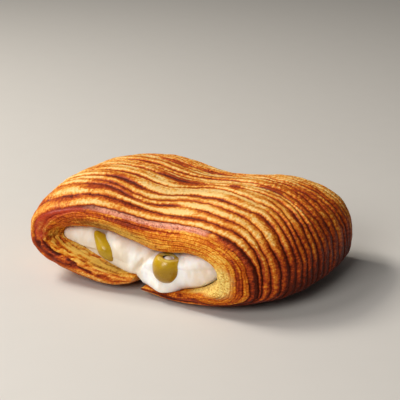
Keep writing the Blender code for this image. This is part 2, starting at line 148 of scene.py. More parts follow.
SECTION_SAMPLES = 2001
SECTION_ANGLE = 0.8 * np.pi  # the section at this angle stands for all in distances across the strip
RINGS = 222
RING_EVENNESS = 0.35  # 0 spaces the rings evenly along the crust, 1 by their angles
TIP_TURNS = (0.15, 0.4, 0.7, 1.0, 1.3)  # turns of the rings round a rounded tip
RIB_STEPS = 10
FACE_STEPS = 10
HOLLOW_ROWS = 9
HOLLOW_STEPS = 2

# Relief that the solids are too coarse for.
ROW_GATHERING = 0.6  # 0 spaces the rows of a rib evenly, 1 gathers them at its grooves
CREST_PLACE = (0.28, 0.52)  # where across a rib its crest stands
PROUD_SPREAD = 0.0005  # ribs sink below the crest line by up to this much
PROUD_LENGTHS = (0.070, 0.031)
FINE_WANDER = 0.00015
FINE_WANDER_LENGTHS = (0.019, 0.0085, 0.0047)
GROOVE_UNEVENNESS = 0.14
GROOVE_LENGTHS = (0.026, 0.011)
GROOVE_SHADE_WIDTH = (0.00030, 0.00060)  # how far behind a groove's bottom its painted shade fades, and in front of it
FACE_LAYER_SHADE = 0.20  # strength of the painted shade lines between the fine layers of the face
FACE_SPLIT = 2  # fine layers that make up one rib of the face round an opening
FACE_LAYER_DEPTH = 0.00040
FLAKY = (0.266, 0.036)  # where along the crust the face's layers are torn into flakes, and how far
FLAKE_DEPTH = 0.0011
FLAKE_LENGTH = (0.32, 0.0026)  # factor on the distance along, below 1 for long flakes, and their size
FLAKE_STEP = (-0.5, 1.0)  # values of the random field between which a flake stands up
FLAKY_EDGE = (-0.0150, -0.0100)  # between these places the flakes start, beside the cream
FACE_SHARE = 0.55  # share of its depth that a groove of the face keeps, as the fine layers have theirs
BAND_SLIDE = 0.0108  # how far the dark band slides in towards the hollow at the left-hand end and underneath
BAND_SLIDE_LEFT = (0.188, 0.235)
BAND_SLIDE_RIGHT = (0.038, 0.062)
BAND_SLIDE_WIDTH = 0.0120
SWELL_HEIGHT = 0.00030  # long soft bumps along the ribs
SWELL_LENGTH = 0.0120
BLISTER_HEIGHT = 0.00012
BLISTER_LENGTH = 0.0036
WAVE_SPREAD = (0.75, 1.3)  # a rib's waves are between these shares of the length that is given for them
DETAIL_SEED = 21

# Browning of the crust: 0 is pale dough and 1 is nearly burnt. Places are distances along the crust.
# It also holds painted light: a painted highlight on the crests, and painted shade down the flanks, on the
# right-hand end and its foot, on the left side, in the flakes' pits and in the grooves of the crown.
BROWNING = {
    "crust": 0.33,
    "flank browning and painted shade": 0.34,
    "crest": -0.20,
    "right end browning and painted shade": 0.28,
    "crown": 0.06,
    "left side painted shade": 0.03,
    "right foot browning and painted shade": 0.50,
    "pale": -0.10,
    "band": 0.38,
    "face": -0.02,
    "throat": 0.12,
    "face edge": 0.22,
    "underside": 0.30,
    "flakes": 0.45,
}
STREAKS = (0.03, 0.18, 0.0032)  # random browning: strength, factor on the distance along, and size
CLOUDS = (0.04, 0.50, 0.0110)
# The right-hand end and its foot are darker from browning and from painted shade; the left side gets painted
# shade.
RIGHT_END = (0.076, 0.030)  # middle and spread
RIGHT_END_INWARDS = (0.010, 0.030)  # and between these distances from a rim it sets in
RIGHT_END_CRESTS = 0.5  # share of their paleness that its crests lose
RIGHT_END_STRIPES = 0.8  # share of the way to full strength that its stripes gain
RIGHT_FOOT = (0.064, 0.019)
LEFT_END = (0.228, 0.020)
LEFT_SIDE = (0.150, 0.190)
THROAT = (-0.004, 0.004)  # between these places the left end's darker throat ends
FACE_START = 0.0010  # the face's colours set in over this distance from the band
FACE_EDGE = (0.0055, 0.0025)  # middle and spread of the darker edge of the face
FACE_EDGE_SHARES = (0.6, 0.2)  # its strength at the left end and among the flakes
FLAKE_MIDDLE = 0.50  # where layers are less torn than this they are paler than the dough round them; torn pits get painted shade
UNDERSIDE = (0.000, 0.008)  # heights between which the underside's colour fades
RIB_TONE = 0.06  # one rib is this much darker or lighter than the next
RIB_DRIFT = 0.06  # and changes this much along its length
RIB_DRIFT_LENGTHS = (0.060, 0.026)
RIB_CREST = (0.28, 0.20)  # where across a rib it is palest, partly as a painted highlight, and how far that spreads
STRIPE_WIDTH = (0.30, 0.62)  # the dark stripe down one side of a rib, as a share of the rib
STRIPE_AT_BACK = 0.85  # share of the ribs that have it at their back side
STRIPE_SHARE = 0.34  # below 0 most ribs have no stripe, above 1 all ribs have it all along
STRIPE_RANGE = 0.9  # how far their strength swings about that share
STRIPE_LENGTHS = (0.080, 0.034)
LEFT_END_SOFTNESS = 0.6  # share of its darkness that the painted groove shade loses at the left end and among the flakes
SOFT_REACH = 0.003  # up to this place
CROWN = ((0.105, 0.135), (0.200, 0.225))  # the crown sets in and ends between these distances along
CROWN_CONTRAST = 0.55  # the browning varies this much more on the crown, about the middle that follows, which deepens painted highlight and shade too
CROWN_MIDDLE = 0.37
CROWN_GROOVE_SHADE = 0.20  # how much darker the painted shade in the crown's grooves is
CROWN_STRIPES = 0.7  # share of their strength that its stripes lose
TOASTED = (  # distance along, ribs from the band, spread along and across the ribs, and strength
    (0.182, 1.72, 0.012, 0.34, 1.1),
    (0.198, 1.55, 0.006, 0.40, 0.8),
    (0.160, 2.02, 0.005, 0.24, 1.0),
    (0.140, 1.90, 0.012, 0.24, 0.6),
    (0.136, 3.78, 0.008, 0.24, 1.1),
    (0.151, 3.84, 0.012, 0.22, 1.0),
    (0.162, 3.74, 0.007, 0.30, 1.1),
    (0.180, 3.80, 0.008, 0.34, 0.8),
    (0.190, 4.15, 0.010, 0.50, 1.0),
    (0.184, 5.50, 0.022, 0.36, 1.1),
    (0.162, 7.60, 0.012, 0.80, 1.0),
    (0.172, 8.50, 0.016, 0.70, 1.0),
    (0.139, 7.00, 0.004, 0.80, 1.0),
    (0.141, 8.10, 0.005, 0.70, 1.0),
    (0.168, 10.70, 0.012, 0.40, 1.1),
    (0.184, 9.80, 0.010, 0.40, 1.0),
    (0.183, 13.30, 0.010, 0.55, 1.1),
    (0.165, 14.50, 0.016, 0.75, 1.1),
    (0.125, 10.30, 0.006, 0.50, 0.9),
    (0.132, 12.80, 0.014, 0.35, 1.0),
    (0.110, 3.90, 0.012, 0.25, 0.9),
    (0.103, 7.80, 0.010, 0.30, 0.9),
    (0.256, 0.60, 0.020, 0.90, 1.1),
    (0.188, 2.45, 0.018, 0.45, 0.9),
    (0.098, 10.0, 0.012, 2.00, 0.55),
    (0.108, 13.0, 0.012, 1.20, 0.60),
    (0.118, 11.5, 0.014, 2.20, 0.55),
    (0.050, 1.00, 0.012, 2.20, 0.9),
)
PALE = (  # as TOASTED, for ribs that stayed pale
    (0.150, 4.90, 0.022, 0.95, 1.1),
    (0.184, 6.70, 0.018, 0.60, 1.2),
    (0.138, 2.45, 0.020, 0.42, 0.9),
    (0.150, 1.45, 0.012, 0.40, 0.7),
    (0.205, 3.30, 0.010, 0.60, 0.7),
    (0.120, 5.50, 0.012, 0.60, 0.5),
)
FACE_TOASTED = (  # as TOASTED on the face, with places in metres instead of ribs
    (0.174, 0.0058, 0.013, 0.0020, 1.1),
    (0.150, 0.0066, 0.016, 0.0011, 0.7),
    (0.210, 0.0005, 0.008, 0.0034, 0.7),
    (0.224, 0.0030, 0.007, 0.0016, 0.5),
    (0.232, 0.0004, 0.007, 0.0015, 0.5),
    (0.241, -0.0020, 0.006, 0.0014, 0.4),
    (0.256, 0.0020, 0.014, 0.0022, 0.7),
    (0.284, 0.0060, 0.012, 0.0012, 0.7),
    (0.090, 0.0050, 0.022, 0.0009, 0.9),
    (0.068, 0.0003, 0.010, 0.0013, 1.0),
    (0.087, 0.0026, 0.011, 0.0010, 0.6),
    (0.102, -0.0005, 0.008, 0.0009, 0.4),
    (0.058, -0.0148, 0.002, 0.0020, 0.9),
    (0.030, -0.0045, 0.004, 0.0018, 0.8),
    (0.041, -0.0020, 0.006, 0.0018, 0.9),
    (0.026, -0.0090, 0.004, 0.0030, 0.8),
    (0.014, -0.0020, 0.008, 0.0030, 0.8),
)
FACE_PALE = (  # as FACE_TOASTED, for paler dough; a strength below 0 makes it darker
    (0.226, 0.0050, 0.006, 0.0012, 1.0),
    (0.238, 0.0002, 0.010, 0.0011, 1.0),
    (0.272, -0.0080, 0.026, 0.0030, 1.0),
    (0.272, 0.0020, 0.024, 0.0070, 1.4),
    (0.080, -0.0006, 0.014, 0.0014, 1.4),
    (0.040, -0.0095, 0.014, 0.0026, 1.0),
    (0.140, 0.0025, 0.020, 0.0016, 0.6),
    (0.094, 0.0000, 0.014, 0.0060, 1.2),
    (0.118, 0.0020, 0.018, 0.0060, 1.0),
    (0.197, -0.0010, 0.016, 0.0050, -2.4),
    (0.254, -0.0010, 0.010, 0.0036, -2.0),
    (0.224, 0.0070, 0.012, 0.0050, -1.2),
    (0.078, 0.0062, 0.014, 0.0024, -2.6),
)
BAND_EDGE = 0.0005  # half of the distance over which the band's colour sets in
BAND_FADE = (0.250, 0.290)  # the band grows paler between these distances along
BAND_FADING = 0.75  # by this share, and by the same at the left end
BAND_BREAK = (0.1215, 0.0030)  # where the band is flaked away, and how far
GLAZE_ENDS = ((0.123, 0.129), (0.182, 0.200))  # distances along where the band's glaze and its painted highlight set in and end
GLAZE_EDGE = 0.0006
GREASY = (  # as FACE_TOASTED, for dough soaked by the filling
    (0.180, -0.0010, 0.026, 0.0036, 1.10),
    (0.236, -0.0075, 0.014, 0.0050, 0.55),
    (0.286, -0.0060, 0.016, 0.0036, 1.10),
    (0.262, -0.0110, 0.012, 0.0030, 0.50),
    (0.118, -0.0020, 0.014, 0.0020, 0.50),
)
TORN = (  # as FACE_TOASTED, for pale crumb that is torn open beside the cream
    (0.082, -0.0038, 0.014, 0.0064, 1.15),
    (0.066, -0.0110, 0.012, 0.0100, 1.15),
    (0.046, -0.0105, 0.012, 0.0034, 0.70),
)
EMBER = (  # as FACE_TOASTED before the band slides, for the red, glossy curve of the left-hand end
    (0.205, 0.0092, 0.011, 0.0026, 1.00),
    (0.222, 0.0100, 0.013, 0.0032, 1.00),
    (0.236, 0.0088, 0.009, 0.0030, 0.80),
)

# ---------------------------------------------------------------- cream and olives

CREAM_GRIP = -0.0003  # the visible cream reaches just into the dough, so that no air shows between them
CREAM_REACH = 0.80  # turn from the middle of the hollow's wall to the edge of the back face
CREAM_MIDDLE = (-0.0030, 0.0440, 0.0155)
CREAM_COLUMNS = 250
CREAM_EVENNESS = 0.75  # 0 spaces them evenly along the crust, 1 by their angles
CREAM_BRIDGE = 10  # columns across the seam
CREAM_CONTACT_ROWS = 16
CREAM_FACE_ROWS = 84
CREAM_FREE = (0.05, 0.55)  # a face's relief sets in between these shares of its depth
CREAM_EDGE = -0.0130  # place of the cream's edge on the strip, at the front
CREAM_EDGE_SHIFTS = (  # distance along, spread before it and beyond it, and how far the edge moves there
    (0.0165, 0.0200, 0.0100, 0.0093),
    (0.0750, 0.0180, 0.0220, -0.0065),
    (0.2575, 0.0060, 0.0080, -0.0018),
    (0.3040, 0.0300, 0.0300, 0.0064),
)
DRIP_SWELL = 0.0012  # how far the spill bulges

OLIVES = {  # centre, half sizes, and how far it leans to the right in radians
    "olive_left": ((-0.0233, -0.0415, 0.0202), (0.0042, 0.0056, 0.0082), -0.74),
    "olive_back_left": ((-0.0185, 0.0405, 0.0192), (0.0041, 0.0052, 0.0054), 0.60),
    "olive_back_right": ((0.0150, 0.0405, 0.0150), (0.0060, 0.0058, 0.0052), 0.30),
}
PITTED_OLIVE = ((0.0078, -0.0405, 0.0155), (0.0067, 0.0066, 0.0074), 0.14)
PIT_CUT = 0.65  # share of its half height at which the pitted olive is cut off
PIT_RADIUS = 0.0026
PIT_DEPTH = 0.0015
PIT_DAB = (0.82, 0.0004)  # the cream in the pit: its share of the hole's width, and how far it stands out
PIT_TAPER = (0.98, 0.92)  # the hole's width at its mouth and at its bottom, as shares of the mouth's
PIT_START = 0.05  # share of the hole's depth at which its wall begins
OLIVE_POWER = 2.1  # of an olive's outline, where 2 is an ellipse
OLIVE_SEGMENTS = 96
OLIVE_RINGS = 64
OLIVE_DENT = 0.035  # share of its size that an olive's skin is dented in
OLIVE_DENT_LENGTH = 0.009
OLIVE_TAPER = {"olive_left": 0.45}  # how much narrower an olive is at its top
OLIVE_TAPER_HEIGHTS = (-0.4, 1.0)  # shares of its half height between which it narrows
PIT_RINGS = 8
PIT_BULGE = 0.0003  # how far the cut flesh round the hole swells

CREAM_LOBES = (  # middle x and z, lean, spread across and along it, and how far it stands out
    (-0.0138, 0.0215, -0.66, 0.0042, 0.0120, 0.0026),
    (-0.0290, 0.0185, -0.60, 0.0036, 0.0070, -0.0012),
    (-0.0275, 0.0262, -0.60, 0.0030, 0.0036, -0.0062),
    (0.0215, 0.0165, 0.20, 0.0060, 0.0060, 0.0014),
    (0.0092, 0.0222, -1.42, 0.0030, 0.0052, -0.0080),
    (0.0075, 0.0075, 1.50, 0.0032, 0.0080, 0.0010),
)
CREAM_FOLD = (-0.0043, 0.62, 0.0150, 10.0)  # x and slope at the height in the third place, and bend
CREAM_FOLD_WIDTH = 0.0013
CREAM_FOLD_FADE = (0.0090, 0.0150)  # heights between which the fold starts
# Painted shade on the cream: towards its left-hand end, more of it low down, and in its fold.
CREAM_SHADE = (-0.0240, 0.0050)  # between these the cream's colour goes from its shade to its light
CREAM_SHADE_HEIGHTS = (0.0165, 0.0230)  # between these heights the shade fades
CREAM_SHADE_FADE = 0.65
CREAM_WAVE_LENGTH = 0.0110
CREAM_SMEAR = 0.00010  # height of the smears
CREAM_SMEAR_LENGTH = 0.0032
CREAM_SMEAR_STRETCH = (1.0, 0.45)

# ---------------------------------------------------------------- finishes

UV_NAME = "strip"
UV_UNIT = 0.1  # metres that one unit of the UV map stands for
BAKE_STOPS = {"pale": 0.08, "golden": 0.28, "amber": 0.46, "brown": 0.64, "dark": 0.80, "charred": 0.98}
DOUGH_LINES = {  # marks that follow the strip: how they are stretched, and their size, detail and roughness
    "layers": ((0.20, 1.0, 1.0), 0.0011, 4.0, 0.70),
    "fibres": ((0.30, 1.0, 1.0), 0.0007, 3.0, 0.60),
    "dots": ((1.0, 0.60, 1.0), 0.0013, 2.0, 0.55),
}
DOUGH_SPOTS = {"grain": (0.0007, 3.0, 0.70), "specks": (0.0026, 3.0, 0.60)}  # marks with no direction
SPECKLE_STEP = (0.34, 0.66)  # values of the dots between which a speckle sets in
# How far the marks move the browning, and how high each stands in the relief of the finish.
BAKE_SWINGS = {"layers": 0.38, "speckle": 0.20, "grain": 0.54, "specks": 0.40}
DOUGH_BUMPS = {"layers": 0.00040, "fibres": 0.00022, "speckle": 0.00016, "grain": 0.00024}
PATCH_EDGES = {  # the marks that fray a patch's edge and how far, and the values between which it sets in
    "toast": ({"layers": 1.3, "dots": 0.9}, 0.15, 1.05),
    "grease": ({"fibres": 0.5}, 0.15, 0.95),
    "ember": ({"dots": 0.5}, 0.15, 0.85),
    "crumb": ({"dots": 0.4}, 0.25, 0.75),
}
TOAST_BAKE = 0.84  # browning that toasted patches tend to
TINTS = {"toast": 0.72, "crease": 0.50, "grease": 0.80, "ember": 0.65}  # how much each changes the colour
FACE_TINT = srgb(250, 240, 176)  # the cut layers round an opening are yellower than the crust
BAND_PAINTED_HIGHLIGHT = srgb(250, 172, 138)  # painted highlight: the glazed band's colour where the light would catch it
PAINTED_HIGHLIGHT_SHARE = (0.24, 0.66)  # share of the painted highlight all over the band, and more of it in painted glints
PAINTED_GLINT_STEP = (0.78, 1.12)
GREASE_COLOURS = (srgb(222, 176, 74), srgb(150, 96, 20))
GREASE_BAKE = (0.25, 0.75)  # greasy dough goes from the first colour to the second between these
EMBER_COLOUR = srgb(184, 56, 24)
CRUMB_COLOURS = (srgb(210, 150, 50), srgb(252, 220, 126))
CRUMB_PORES = (0.60, 0.82)
SHINE = {"dough": 0.06, "glaze": 0.24, "toast": 0.10, "ember": 0.14}
SHINE_SPECKS = (0.35, 0.65)  # share of the shine that is everywhere, and the rest in specks
DOUGH_ROUGHNESS = {"dough": 0.56, "grain": 0.30, "shine": -0.16, "grease": -0.16, "crease": 0.12}
OLIVE_PAINTED_LIGHT_HEIGHTS = (0.0080, 0.0270)  # painted light: an olive's skin grows paler towards its top between these heights
# painted shade inside the pit hole
PIT_SHADE = srgb(84, 66, 14)
PIT_CREAM = srgb(240, 230, 212)

# ---------------------------------------------------------------- photograph's point of view

CAMERA_AZIMUTH = math.radians(29.9)
CAMERA_ELEVATION = math.radians(19.3)
CAMERA_DISTANCE = 0.615
CAMERA_TARGET = (-0.00245, 0.0, 0.0200)
CAMERA_OFFSET = (0.0030, 0.0121)  # the aim stands this far right of the target and above it
CAMERA_LENS = 120.6
SENSOR_WIDTH = 36.0
CAMERA_CLIP = (0.01, 50.0)

LIGHTS = {  # how far right, how far away behind the pastry and how high each stands, and its two sizes
    "key": ((-0.62, 0.28, 0.70), (0.36, 0.28)),
    "top": ((-0.52, -0.03, 0.74), (0.40, 0.20)),
    "fill": ((-0.36, -0.74, 0.50), (0.50, 0.36)),
}
FLOOR_REACH = 3.0


# ---------------------------------------------------------------- surfaces, as functions of two parameters


def mix(a, b, share):
    """Value between a and b."""
    return a + (b - a) * share


def hump(x, centre, spread):
    """Smooth hump of height 1."""
    return np.exp(-(((x - centre) / spread) ** 2))


def smooth(value, start, end):
    """Smooth step from 0 at start to 1 at end."""
    share = np.clip((value - start) / (end - start), 0, 1)
    return share * share * (3 - 2 * share)


def ripple(points, length, seed, waves=22, spread=(0.6, 1.7)):
    """Smooth random field of about unit height: a sum of plane waves in random directions."""
    random = np.random.default_rng(seed)
    total = np.zeros(points.shape[:-1])
    for _ in range(waves):
        direction = random.normal(size=points.shape[-1])
        direction *= 2 * np.pi / (length * random.uniform(*spread) * np.linalg.norm(direction))
        total += np.sin(points @ direction + random.uniform(0, 2 * np.pi))
    return total / math.sqrt(waves / 2)


def plateau(value, rise, fall):
    """1 between a smooth step up and a smooth step down, and 0 on either side."""
    return smooth(value, *rise) * (1 - smooth(value, *fall))


def dapple(points, length, seed, contrast=0.33):
    """Smooth random field from 0 to 1."""
    return np.clip(0.5 + contrast * ripple(points, length, seed), 0, 1)


def outline(angle, left, right, rounding, top, bottom):
    """Superellipse from the seam round the right end, the top and the left end, between top and bottom lines.

    Its powers differ above and below the ends, and right and left of the seam.
    """
    across, down = np.sin(angle), np.cos(angle)
    upper = down < 0
    is_right = angle < np.pi
    powers = zip(rounding["upper"], rounding["lower"])
    left_power, right_power, height_power = (np.where(upper, above, below) for above, below in powers)
    share = np.abs(across) ** (2 / np.where(is_right, right_power, left_power))
    x = SEAM_X + share * (np.where(is_right, right[0], left[0]) - SEAM_X)
    along = (x - left[0]) / (right[0] - left[0])
    middle = mix(left[1], right[1], along)
    limit = np.where(upper, top(x, along), bottom(x, is_right))
    return x, middle + (limit - middle) * np.abs(down) ** (2 / height_power)


def crust_outline(angle):
    """Outside of the roll at mid-depth."""
    return outline(
        angle,
        CRUST_LEFT,
        CRUST_RIGHT,
        CRUST_ROUNDING,
        lambda x, along: mix(*CRUST_TOP, along) - CRUST_DIP * hump(x, 0, CRUST_DIP_SPREAD),
        lambda x, is_right: np.where(is_right, FLAP_LIFT[1], FLAP_LIFT[0])
        * hump(x, SEAM_X, np.where(is_right, FLAP_LIFT_SPREAD[1], FLAP_LIFT_SPREAD[0]))
        - CRUST_SINK,
    )


def hollow_outline(angle):
    """Wall of the hollow at mid-depth."""
    return outline(
        angle,
        HOLLOW_LEFT,
        HOLLOW_RIGHT,
        HOLLOW_ROUNDING,
        lambda x, along: mix(*HOLLOW_ROOF, along) - HOLLOW_DIP * hump(x, HOLLOW_DIP_X, HOLLOW_DIP_SPREAD),
        lambda x, is_right: np.where(
            is_right,
            HOLLOW_FLOOR[1] + HOLLOW_FLOOR_LIP * hump(x, SEAM_X, FLAP_LIFT_SPREAD[1]),
            HOLLOW_FLOOR[0] + HOLLOW_FLOOR_RISE * (x - SEAM_X) / (HOLLOW_LEFT[0] - SEAM_X),
        ),
    )


def strip_point(angle, turn, slim=1.0):
    """Point of the smooth strip: angle runs round the roll, turn round the strip's own section.

    turn is 0 on the front rim, a quarter turn on the crust, half a turn on the back rim, and minus a quarter
    turn in the hollow. The section is a superellipse in the depth and in the thickness. slim thins it.
    """
    power = np.where(np.sin(turn) > 0, *RIM_ROUNDING)
    radius = (np.abs(np.cos(turn)) ** power + np.abs(np.sin(turn)) ** power) ** (-1 / power)
    depth = -radius * np.cos(turn)
    side = radius * np.sin(turn)
    thick = RIM_PLACE + slim * side * np.where(side > 0, 1 - RIM_PLACE, RIM_PLACE)

    crust_x, crust_z = crust_outline(angle)
    hollow_x, hollow_z = hollow_outline(angle)
    reach = np.abs(depth) ** CURL_POWER
    curl = {end: np.where(depth < 0, FRONT_CURL[end], BACK_CURL[end]) * reach for end in FRONT_CURL}
    crust_x = crust_x - curl["right"] * np.clip(crust_x / CRUST_RIGHT[0], 0, 1) ** CURL_SLOPE
    crust_x = crust_x + curl["left"] * np.clip(crust_x / CRUST_LEFT[0], 0, 1) ** CURL_SLOPE
    rightness = (crust_x - CRUST_LEFT[0]) / (CRUST_RIGHT[0] - CRUST_LEFT[0])
    height = np.clip(crust_z / CURL_HEIGHT, 0, 2)
    crust_z = crust_z - mix(curl["top left"], curl["top right"], rightness) * height**CURL_SLOPE
    crust_z = crust_z + curl["bottom"] * np.clip(1 - height, 0, 1) ** 2

    x = mix(hollow_x, crust_x, thick)
    z = mix(hollow_z, crust_z, thick)
    waist = mix(*WAIST, np.clip(z / WAIST_HEIGHT, 0, 1)) * hump(x, 0, CRUST_DIP_SPREAD)
    return np.stack([x, depth * DEPTH / 2 * (1 - waist), z], axis=-1)


def normals(point, angle, turn):
    """Outward unit normals of a surface of (angle, turn), from small steps each way."""
    step = 1e-4
    angle = np.maximum(angle, step)
    along = point(angle + step, turn) - point(angle - step, turn)
    round_section = point(angle, turn + step) - point(angle, turn - step)
    normal = np.cross(round_section, along)
    return normal / np.linalg.norm(normal, axis=-1, keepdims=True)


def section_scale():
    """Turns round a typical section, and each one's distance along it from the front rim."""
    turn = np.linspace(-np.pi / 2, 1.5 * np.pi, SECTION_SAMPLES)
    points = strip_point(np.full_like(turn, SECTION_ANGLE), turn)
    place = np.concatenate([[0], np.cumsum(np.linalg.norm(np.diff(points, axis=0), axis=1))])
    return turn, place - np.interp(0, turn, place)


def crust_scale():
    """Angles round the roll, and each one's distance along the crust from the right-hand flap's tip."""
    angle = np.linspace(STRIP_START, STRIP_END, SECTION_SAMPLES)
    x, z = crust_outline(angle)
    return angle, np.concatenate([[0], np.cumsum(np.hypot(np.diff(x), np.diff(z)))])


def ring_angles():
    """Angles of the rings round the roll, and the share of its full thickness that the strip has on each."""
    angle, place = crust_scale()
    evenly = mix(place / place[-1], (angle - angle[0]) / (angle[-1] - angle[0]), RING_EVENNESS)
    first, last = np.interp([FLAP_TIP[0], place[-1] - FLAP_TIP[1]], place, evenly)
    body = np.interp(np.linspace(first, last, RINGS), evenly, angle)
    turns = np.array(TIP_TURNS)
    setback = 1 - np.cos(turns)
    start = np.interp(FLAP_TIP[0] * setback, place, angle)
    end = np.interp(place[-1] - FLAP_TIP[1] * setback[::-1], place, angle)
    slim = np.concatenate([np.sin(turns), np.ones(RINGS), np.sin(turns[::-1])])
    return np.concatenate([start, body, end]), slim


def groove_lines(arc, hollow):
    """Places of the lines round the section at each station, the depth of each, and the rows up to the next.

    They start in the middle of the hollow and go over the front rim, the crust and the back rim.
    """
    front_half = [
        np.linspace(-hollow, LIP, HOLLOW_ROWS // 2 + 2)[:-1],
        np.linspace(LIP, 0, FACE_RIBS[0] + 1)[:-1],
        np.linspace(0, BAND[0], FACE_RIBS[1] + 1),
    ]
    back_half = [arc - half[::-1] for half in reversed(front_half)]
    stations = []
    for station in range(len(STATIONS)):
        crust = [BAND[1]] + [groove[station] for groove in GROOVES]
        back = np.linspace(crust[-1], arc - BAND[1], BACK_GROOVES + 2)[1:]
        stations.append(np.concatenate(front_half + [crust, back] + back_half)[:-1])

    hollow_ribs, face_ribs, crust_ribs = HOLLOW_ROWS // 2 + 1, sum(FACE_RIBS), len(GROOVES) + BACK_GROOVES + 3
    ribs = np.array([hollow_ribs, face_ribs, crust_ribs, face_ribs, hollow_ribs])
    steps = np.repeat([HOLLOW_STEPS, FACE_STEPS, RIB_STEPS, FACE_STEPS, HOLLOW_STEPS], ribs)
    depths = [0.0, FACE_GROOVE_DEPTH, GROOVE_DEPTH, FACE_GROOVE_DEPTH, 0.0]
    depth = np.repeat(depths, ribs + [0, 0, 1, 0, -1])  # the crust's ribs have a line at both ends
    return np.array(stations), depth, steps


def strands(along, count, lengths, seed):
    """Smooth random value along each of count ribs: a sum of sines of the distance along."""
    random = np.random.default_rng(seed)
    total = np.zeros((len(along), count))
    for length in lengths:
        wave = length * random.uniform(*WAVE_SPREAD, count)
        total += np.sin(2 * np.pi * along / wave + random.uniform(0, 2 * np.pi, count))
    return total / math.sqrt(len(lengths))


def rib_wall(share):
    """Side of a rib as a quarter of an ellipse: 1 in the groove, 0 from the middle of the rib on."""
    return 1 - np.sqrt(1 - np.clip(1 - 2 * share, 0, 1) ** 2)


def ring_lines(along, arc, hollow, groove_depth, random):
    """Lines round the section on each ring: their places, the same before the band slides, and their depths.

    The places are mixed from those of the stations, and each line wanders. The first line is repeated at the
    end. Also gives which lines are the face's, the rows up to each next line, and the first past the band.
    """
    stations, depth, steps = groove_lines(arc, hollow)
    count = len(steps)
    lines = stations[0]
    for before, station, places in zip(STATIONS, STATIONS[1:], stations[1:]):
        lines = mix(lines, places, smooth(along, before, station))
    is_crust, is_face = depth == GROOVE_DEPTH, depth == FACE_GROOVE_DEPTH
    for size, wave in zip(WANDER_SIZES, WANDER_LENGTHS):
        phase = random.uniform(0, 2 * np.pi, count)
        lines = lines + size * WANDER * is_crust * np.sin(2 * np.pi * along / wave + phase)

    slide = smooth(along, *BAND_SLIDE_LEFT) + 1 - smooth(along, *BAND_SLIDE_RIGHT)
    sliding = slide * BAND_SLIDE * hump(np.minimum(lines, arc - lines), BAND[0], BAND_SLIDE_WIDTH)
    slid = lines - np.where(lines < arc / 2, sliding, -sliding)
    slid = slid + FINE_WANDER * (depth > 0) * strands(along, count, FINE_WANDER_LENGTHS, DETAIL_SEED)

    first_rib = np.flatnonzero(is_crust)[0] + len(BAND)
    runs_on = np.ones(count)
    runs_on[first_rib : first_rib + len(GROOVES)] = [line[-1] for line in GROOVES]
    groove = depth / GROOVE_DEPTH * groove_depth * random.uniform(*GROOVE_SPREAD, count)
    groove = groove * np.where(is_face, FACE_SHARE, 1) * mix(1, runs_on, smooth(along, *FADE))
    groove = groove * (1 + GROOVE_UNEVENNESS * strands(along, count, GROOVE_LENGTHS, DETAIL_SEED + 1))
    groove = groove * mix(1, FLAP_RELIEF, smooth(along, *FLAP_FADE))

    end = np.full_like(along, arc + hollow)
    tables = ((slid, end), (lines, end), (groove, groove[:, :1]))
    return [np.concatenate(table, axis=1) for table in tables], is_face, steps, first_rib


